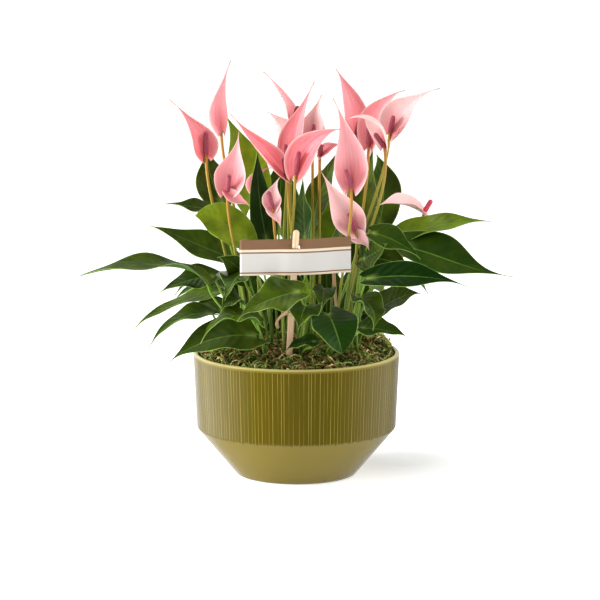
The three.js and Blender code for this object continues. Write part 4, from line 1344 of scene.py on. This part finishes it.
@dataclass
class Studio:
    """A white floor, soft lights on both sides and above, and a long lens at a low angle.

    The light that shines in gloss comes from tall white walls at both sides and from above.
    The room before the bowl is dark, which leaves the middle of a glossy wall dark.
    """

    distance: float = 5000.0
    elevation: float = 10.0
    aim: Point = (4.0, 0.0, 196.7)
    focal_px: float = 4478.0
    frame_px: float = 600.0
    sensor_mm: float = 36.0
    floor_reach: float = 40.0
    painted_shadow_middle: Point = (0.12, 0.07, 0.0)
    glow_reach: Span = (0.03, 0.24)
    glow_light: Span = (0.04, 0.75)
    look_at: Point = (0.0, 0.0, 0.25)
    eye_light: float = 1.0
    soft_light: float = 0.32
    dark_front: float = 0.04
    floor_shine: float = 0.6
    front_edge: Span = (132.0, 84.0)
    rear_edge: Span = (60.0, 45.0)
    side_reach: float = 0.3
    side_light: Span = (1.15, 0.52)
    roof_edge: Span = (0.6, 0.8)
    roof_light: float = 0.15
    floor_edge: Span = (-0.35, -0.6)

    def camera(self) -> None:
        """The camera at the photograph's angle."""
        data = bpy.data.cameras.new("camera")
        data.sensor_width = self.sensor_mm
        data.lens = self.focal_px / self.frame_px * self.sensor_mm
        data.clip_end = 100.0
        tilt = math.radians(self.elevation)
        place = np.array(self.aim) + self.distance * np.array([0, -math.cos(tilt), math.sin(tilt)])
        camera = bpy.data.objects.new("camera", data)
        camera.location = place * MM
        camera.rotation_euler = (math.pi / 2 - tilt, 0, 0)
        bpy.context.scene.collection.objects.link(camera)
        bpy.context.scene.camera = camera

    def floor(self) -> None:
        """A white floor that shines in nothing and glows evenly, except round one point by the bowl's right
        back foot, where a dimmer glow is a painted shadow.
        """
        mesh = bpy.data.meshes.new("floor")
        far = self.floor_reach
        mesh.from_pydata([(-far, -far, 0), (far, -far, 0), (far, far, 0), (-far, far, 0)], [], [(0, 1, 2, 3)])
        material, tree = new_finish("white_floor")
        spot = add(tree, "TexCoord").outputs["Object"]
        # Painted shadow: the floor glows less towards the point beside the bowl's right back foot.
        away = add(tree, "VectorMath", spot, self.painted_shadow_middle, operation="DISTANCE")
        glow = add(tree, "MapRange", away, *self.glow_reach, *self.glow_light)
        close_finish(tree, {
            "Base Color": (0.9, 0.9, 0.9, 1), "Roughness": 0.9, "Specular IOR Level": 0.0,
            "Emission Color": (1, 1, 1, 1), "Emission Strength": glow,
        })
        mesh.materials.append(material)
        floor = bpy.data.objects.new("floor", mesh)
        floor.visible_glossy = False
        bpy.context.scene.collection.objects.link(floor)

    def light(self, name: str, place: Point, size: float, power: float, shines: bool = False) -> None:
        """A square soft light that looks at the plant's middle.

        Args:
            name: its name.
            place: its middle, in metres.
            size: its side, in metres.
            power: its power, in watts.
            shines: whether it shows in gloss.
        """
        data = bpy.data.lights.new(name, "AREA")
        data.shape, data.size, data.energy = "SQUARE", size, power
        lamp = bpy.data.objects.new(name, data)
        lamp.location = place
        aim = unit(np.array(self.look_at) - np.array(place))
        lamp.rotation_euler = (math.acos(-aim[2]), 0, math.atan2(-aim[0], aim[1]))
        lamp.visible_camera = False
        lamp.visible_glossy = shines
        bpy.context.scene.collection.objects.link(lamp)

    def sky(self) -> None:
        """White room: even for the eye and for soft light, with a dark front for gloss.

        The angle back is 0 straight behind the bowl and 180 degrees straight before it. In
        gloss the room is dark from 132 degrees on, brightest from 84 to 60 and half as bright
        at the back, and its left side is brighter than its right.
        """
        world = bpy.data.worlds.new("white_room")
        world.use_nodes = True
        tree = world.node_tree
        tree.nodes.clear()
        x, y, z = add(tree, "SeparateXYZ", add(tree, "TexCoord").outputs["Generated"]).outputs
        back = add(tree, "Math", add(tree, "Math", x, operation="ABSOLUTE"), y, operation="ARCTAN2")
        wall = add(tree, "MapRange", back, *(math.radians(a) for a in self.front_edge), 0.0, 2.0)
        rear = add(tree, "MapRange", back, *(math.radians(a) for a in self.rear_edge))
        sides = add(tree, "Math", wall, rear, operation="SUBTRACT")
        favour = add(tree, "MapRange", x, -self.side_reach, self.side_reach, *self.side_light)
        sides = add(tree, "Math", sides, favour, operation="MULTIPLY")
        roof = add(tree, "MapRange", z, *self.roof_edge, 1.0, self.roof_light, **SOFT)
        walls = add(tree, "Math", sides, roof, operation="MULTIPLY")
        dim = add(tree, "Math", walls, self.dark_front, operation="MAXIMUM")
        gloss = add(tree, "Mix", add(tree, "MapRange", z, *self.floor_edge), dim, self.floor_shine)
        path = add(tree, "LightPath").outputs
        strength = add(tree, "Mix", path["Is Glossy Ray"], self.soft_light, gloss)
        seen = add(tree, "Mix", path["Is Camera Ray"], strength, self.eye_light)
        add(tree, "OutputWorld", add(tree, "Background", (1, 1, 1, 1), seen))
        bpy.context.scene.world = world

    def build(self) -> None:
        """Sets the camera, the floor, the lights and the room."""
        self.camera()
        self.floor()
        self.sky()
        self.light("left_wall", (-1.9, -0.35, 0.5), 0.9, 66.0)
        self.light("right_wall", (1.8, -0.35, 1.4), 1.2, 44.0)
        self.light("front", (-0.7, -2.0, 1.6), 0.8, 2.5)
        self.light("window", (-0.5, 0.25, 1.3), 0.6, 2.4, shines=True)
        self.light("above", (0.0, 0.2, 2.0), 1.2, 8.0)
        view = bpy.context.scene.view_settings
        view.view_transform = "Standard"
        view.look = "None"


# Rows of the plant, as in the part

CROWNS: dict[str, Span] = {
    "west_front": (-64, -30),
    "west": (-60, 6),
    "west_back": (-46, 42),
    "front_left": (-34, -58),
    "left": (-30, -20),
    "mid_left": (-24, 20),
    "back": (-10, 60),
    "front": (6, -60),
    "centre": (6, -20),
    "mid_back": (14, 26),
    "front_right": (36, -64),
    "right": (38, -26),
    "back_right": (34, 62),
    "east_front": (64, -44),
    "east": (68, -6),
    "east_back": (60, 34),
}

LEAVES: dict[str, list[Blade]] = {
    "west_front": [
        Blade((-98, -30, 221), (-242, -40, 232), 38, (0, -0.1, 0.97), (21, 0, 20), (7, 0, 12), phase=1.0,
              wave=5.0, tone=0.22,
              form=replace(LEAF_FORM, widest=0.42, sharpness=1.2)),
        Blade((-92, -12, 226), (-152, -18, 210), 34, (-0.2, -0.7, 0.7), (0, 0, 3), phase=2.0, tone=0.14),
        Blade((-92, -50, 190), (-164, -60, 158), 34, (0, -0.2, 0.97), (0, 0, 12), phase=0.5, droop=7.0),
    ],
    "west": [
        Blade((-70, 8, 241), (-164, 28, 278), 41, (0.1, -0.6, 0.8), phase=3.0, tone=0.2),
        Blade((-86, 5, 297), (-147, 0, 307), 26, (0, -0.5, 0.85)),
        Blade((-83, 24, 202), (-187, 16, 162), 26, (0, -0.3, 0.95), (0, 0, 7), phase=1.5, droop=8.0,
              tone=0.24),
        Blade((-78, 2, 186), (-146, -10, 172), 41, (0, -0.3, 0.95), (0, 0, 6)),
    ],
    "west_back": [
        Blade((-50, 46, 162), (-64, 42, 250), 58, (0, -0.95, 0.3), (0, 6, 0)),
        Blade((-84, 42, 301), (-98, 52, 362), 44, (0.1, -0.9, 0.3), (-6, 6, 0), tone=0.18),
        Blade((-83, 55, 201), (-138, 65, 187), 32, (0, -0.3, 0.95), (0, 0, 8)),
        Blade((-70, 80, 203), (-140, 150, 178), 52, (-0.2, 0.3, 0.9), (0, 0, 16)),
    ],
    "front_left": [
        Blade((-45, -66, 168), (-140, -84, 144), 60, (-0.1, -0.55, 0.83), (0, 0, 10), wave=4.0, tone=0.18),
        Blade((-43, -80, 187), (-105, -102, 173), 40, (-0.2, -0.35, 0.9), (0, 0, 14), wave=5.0, waves=2.2,
              droop=7.0, tone=0.26),
        Blade((-57, -60, 205), (-84, -84, 200), 34, (-0.3, -0.5, 0.8), (0, 0, 6), wave=5.0, waves=2.2,
              tone=0.14),
    ],
    "left": [
        Blade((-54, -20, 267), (-112, -32, 299), 46, (0.2, -0.85, 0.5), (0, 0, 6), tone=0.6,
              form=replace(LEAF_FORM, widest=0.4, sharpness=1)),
        Blade((-60, -50, 237), (-79, -76, 211), 38, (-0.5, -0.7, 0.5), (0, -5, 5), wave=6.0, waves=2.2),
        Blade((-52, -40, 227), (-87, -56, 256), 32, (-0.3, -0.9, 0.3), (0, 0, 4)),
    ],
    "mid_left": [
        Blade((-32, 14, 257), (-43, 8, 369), 32, (0.3, -0.9, 0.2), (-4, 0, 0), tone=0.06),
        Blade((-50, 40, 297), (-79, 56, 399), 54, (0.2, -0.9, 0.3), (4, 8, 0), tone=0.72),
    ],
    "back": [
        Blade((-20, 62, 262), (-16, 78, 358), 50, (0, -0.95, 0.3), (0, 8, 0)),
        Blade((-25, 95, 225), (-45, 185, 205), 56, (0, 0.3, 0.9), (0, 0, 24)),
        Blade((-5, 90, 190), (5, 160, 160), 46, (0, 0.3, 0.9), (0, 0, 14)),
        Blade((-8, 64, 156), (-16, 60, 248), 58, (0, -0.95, 0.2), (0, 4, 0)),
    ],
    "front": [
        Blade((3, -90, 222), (-65, -110, 198), 46, (-0.2, -0.7, 0.7), (0, 0, 4), phase=2.5, wave=6.0,
              waves=2.4, droop=6.0, tone=0.22),
        Blade((11, -84, 206), (2, -106, 184), 40, (0, -0.75, 0.65), (0, -4, 4), wave=6.0, waves=2.2,
              tone=0.16),
        Blade((10, -54, 206), (11, -60, 237), 16, (-0.2, -0.9, 0.2), tone=0.45),
        Blade((21, -78, 164), (-13, -88, 156), 20, (0, -0.6, 0.8), (0, 0, 3), tone=0.08),
    ],
    "centre": [
        Blade((9, -4, 265), (7, 14, 334), 34, (-0.7, -0.7, 0.1), (0, 3, 0), tone=0.12),
        Blade((31, -46, 218), (28, -70, 198), 28, (0.1, -0.75, 0.65), (0, -4, 4), wave=4.0),
    ],
    "mid_back": [
        Blade((17, 26, 280), (53, 42, 367), 32, (-0.4, -0.8, 0.3), (-4, 0, 0), tone=0.2),
        Blade((24, 58, 254), (27, 72, 341), 44, (0, -0.95, 0.3), (0, 4, 0), tone=0.36),
        Blade((34, 44, 158), (34, 42, 250), 56, (0, -0.95, 0.2), (0, 5, 0)),
    ],
    "front_right": [
        Blade((35, -82, 196), (50, -112, 159), 54, (0.1, -0.75, 0.65), (0, -5, 5), tone=0.07,
              form=replace(LEAF_FORM, widest=0.42, sharpness=0.8)),
        Blade((72, -70, 178), (122, -84, 172), 36, (0.1, -0.4, 0.9), (0, 0, 2), tone=0.14),
    ],
    "right": [
        Blade((70, 20, 270), (86, 32, 366), 41, (-0.4, -0.85, 0.3), tone=0.28),
        Blade((62, 18, 229), (90, 24, 252), 44, (0, -0.9, 0.4), (0, 0, 4), tone=0.1),
    ],
    "back_right": [
        Blade((50, 85, 235), (90, 170, 225), 56, (0.1, 0.3, 0.9), (0, 0, 24)),
        Blade((60, 80, 185), (108, 132, 172), 46, (0.1, 0.2, 0.9), (0, 0, 14)),
        Blade((62, 66, 160), (68, 62, 244), 46, (0.1, -0.95, 0.2), (0, 5, 0)),
    ],
    "east_front": [
        Blade((77, -76, 234), (187, -88, 229), 38, (0, -0.75, 0.65), (0, 0, 6), wave=4.0, waves=1.4,
              tone=0.02,
              form=replace(LEAF_FORM, sharpness=2)),
        Blade((68, -66, 212), (84, -98, 182), 38, (0.5, -0.5, 0.7), (8, -4, 4), wave=5.0, waves=2.2,
              tone=0.18),
    ],
    "east": [
        Blade((84, -51, 281), (137, -62, 255), 31, (0.1, -0.85, 0.5), (0, 0, 4), tone=0.12),
        Blade((74, -46, 251), (100, -64, 273), 34, (-0.2, -0.8, 0.55), (0, 0, -2), tone=0.2),
        Blade((112, 4, 267), (217, -4, 288), 42, (0, -0.5, 0.87), (0, 0, 6), (0, 0, 3), tone=0.42),
        Blade((116, -22, 262), (240, -42, 232), 62, (0.1, -0.6, 0.8), (0, 0, 2), (0, 0, -8), wave=4.0,
              waves=1.5, tone=0.12,
              form=replace(LEAF_FORM, sharpness=2.8)),
        Blade((75, -43, 251), (128, -52, 240), 46, (0, -0.9, 0.44), (0, 0, 4)),
        Blade((91, -8, 187), (139, -14, 208), 42, (-0.1, -0.5, 0.85), (0, 0, 4), tone=0.2),
    ],
    "east_back": [
        Blade((92, 44, 272), (90, 56, 355), 42, (0.3, -0.9, 0.3), (7, 0, 0), tone=0.2,
              form=replace(LEAF_FORM, widest=0.45, sharpness=1.6)),
        Blade((112, 54, 240), (176, 66, 228), 48, (0, -0.2, 0.95), (0, 0, 8)),
        Blade((100, 74, 205), (150, 100, 188), 48, (0.1, 0.1, 0.95), (0, 0, 14)),
    ],
}


LOW_LEAVES: list[Blade] = [
    Blade((-62, 46, 139), (-76, 50, 180), 42, (-0.1, -0.95, 0.25)),
    Blade((-30, 70, 139), (-38, 74, 184), 48, (0, -0.95, 0.2)),
    Blade((-8, 78, 139), (-12, 84, 188), 48, (0, -0.95, 0.2)),
    Blade((14, 76, 139), (18, 80, 186), 46, (0.1, -0.95, 0.2)),
    Blade((14, 72, 150), (12, 73, 250), 32, (0, -0.95, 0.2)),
    Blade((46, 74, 139), (56, 80, 182), 46, (0.1, -0.95, 0.25)),
    Blade((70, 44, 141), (84, 48, 180), 38, (0.1, -0.95, 0.25)),
]


DRY_STEMS: list[list[Point]] = [
    [(-20, -72, 178), (-24, -73, 186), (-19, -76, 192), (-7, -79, 198)],
    [(46, -38, 138), (45, -42, 170), (43, -48, 215), (41, -50, 238)],
]


def spathe(
    at: Point, tip: Point, width: float, face: Point, rise: Point, tone: float,
    sharpness: float = SPATHE_FORM.sharpness, widest: float = SPATHE_FORM.widest,
) -> Blade:
    """A spathe's row, with its own form.

    Args:
        at: where it grows from.
        tip: its tip.
        width: its width.
        face: the way its inner face looks.
        rise: the lift of its midrib.
        tone: 0 for pale, 1 for coral.
        sharpness: how fast it narrows to its tip.
        widest: where along it it is widest.

    Returns:
        The row.
    """
    form = replace(SPATHE_FORM, sharpness=sharpness, widest=widest)
    return Blade(at, tip, width, face, rise, form=form, tone=tone, wave=SPATHE_WAVE)


FLOWERS: list[Flower] = [
    Flower((-66, -20), spathe((-100, -14, 362), (-140, -30, 428), 36, (0.3, -0.85, 0.3), (8, 0, -2), 0.75, 3),
           (-100, -20, 388)),
    Flower((-50, 26), spathe((-84, 25, 384), (-73, 30, 464), 29, (-0.5, 0.8, 0.2), (-5, 0, 0), 0.45, 3.2),
           (-88, 32, 408)),
    Flower((-54, -40), spathe((-76, -42, 325), (-63, -52, 395), 42, (-0.2, -0.95, 0.2), (2, 4, 0), 0.42),
           (-74, -52, 346),
           (spathe((-78, -46, 326), (-51, -50, 313), 17, (0.1, -0.9, 0.3), (0, 0, -2), 0.4, 1.8),)),
    Flower((-40, 4), spathe((-49, 16, 318), (-27, 30, 343), 19, (-0.3, 0.9, 0.3), (-5, 0, 4), 0.6),
           (-48, 24, 330)),
    Flower((-14, -62), spathe((-26, -56, 309), (-18, -54, 345), 26, (-0.2, -0.95, 0.2), (-3, 3, 0), 0.2),
           (-31, -64, 329),
           (spathe((-28, -55, 311), (-17, -62, 290), 19, (0, -0.95, 0.2), (0, 0, 2), 0.2, 1.6),)),
    Flower((2, -46), spathe((-10, -38, 341), (-72, -60, 416), 38, (0.5, -0.5, 0.6), (-4, 0, 2), 0.85),
           (-14, -46, 364)),
    Flower((-8, -4), spathe((-10, -5, 351), (20, -12, 446), 36, (-0.5, -0.8, 0.2), (-3, 0, 0), 0.7),
           (-12, -14, 374)),
    Flower((-9, -50), spathe((-1, -58, 347), (48, -80, 402), 42, (-0.3, -0.85, 0.4), (-6, 0, 8), 0.85, 1.9),
           (3, -68, 374)),
    Flower((-2, 36), spathe((-5, 30, 390), (-37, 25, 452), 26, (0.7, -0.4, 0.4), (5, 0, 3), 0.35, 3.2),
           (2, 24, 412)),
    Flower((-16, 44), spathe((-8, 48, 370), (-33, 54, 403), 28, (0.3, 0.8, 0.4), (0, 0, 4), 0.15),
           (-4, 56, 388)),
    Flower((20, 6), spathe((18, 14, 373), (28, 16, 427), 34, (-0.1, -0.95, 0.2), (-3, 3, 0), 0.12),
           (19, 5, 394)),
    Flower((26, 8), spathe((26, 10, 358), (53, -4, 374), 20, (-0.2, -0.6, 0.7), (0, 0, 3), 0.5),
           (27, 2, 372)),
    Flower((38, 8), spathe((66, 14, 376), (44, 10, 457), 40, (0.5, -0.8, 0.2), (5, 0, 0), 0.6, 1.9),
           (70, 4, 398)),
    Flower((61, 7), spathe((80, -4, 371), (120, -14, 436), 40, (-0.5, -0.75, 0.3), (-6, 0, 10), 0.5),
           (80, -14, 394)),
    Flower((52, -22), spathe((103, -28, 389), (158, -43, 442), 42, (-0.3, -0.8, 0.4), (-6, 0, 6), 0.14, 3.2),
           (107, -37, 409)),
    Flower((57, -12), spathe((97, -44, 375), (52, -68, 409), 38, (-0.3, -0.1, -0.9), (10, 0, 16), 0.06, 1.7),
           (86, -56, 392)),
    Flower((44, -55), spathe((60, -68, 334), (40, -82, 436), 44, (0, -0.95, 0.25), (6, 4, 0), 0.42),
           (54, -80, 356)),
    Flower((53, -44), spathe((66, -46, 283), (26, -54, 353), 42, (-0.1, -0.9, 0.4), (0, 5, -3), 0.14),
           (57, -54, 303),
           (spathe((62, -46, 278), (80, -54, 264), 20, (0.1, -0.9, 0.3), (2, 0, 2), 0.15, 1.6),)),
    Flower((82, 12), spathe((143, 31, 291), (88, -6, 304), 34, (0.1, -0.35, 0.87), (0, 0, 8), 0.1,
                            widest=0.38), (151, 24, 306), young=1.0),
]


def main() -> None:
    """Builds the plant in its bowl, and its studio."""
    logging.basicConfig(level=logging.INFO, format="%(name)s: %(message)s")
    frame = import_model()
    Studio().build()
    leaf = LeafFinish().material()
    # The petioles' dark foot colour is painted shade down among the leaves. The stalks' foot is green by its
    # own colour and darkened further as painted shade.
    petiole = StemFinish("green_petiole", "#4e681c", "#86a63c", "#5f882c").material()
    stalk = StemFinish("bronze_stalk", "#627a26", "#9c8a2c", "#c06c34").material()
    dry = StemFinish("dry_petiole", "#b08868", "#c79c7c", "#a87c60").material()
    mix_node = frame["nodes"]["potting_mix"]
    mix_node.data.materials.clear()
    mix_node.data.materials.append(MixFinish().material())
    Bowl().build(GlazeFinish().material())
    Moss().build(MossFinish().material())
    Label().build(WoodFinish().material(), CardFinish().material())
    Shoots().build(leaf, petiole)
    Flowers().build(stalk, SpadixFinish().material(), SpatheFinish().material())
    LowLeaves().build(leaf)
    DryStems().build(dry)


if __name__ == "__main__":
    main()
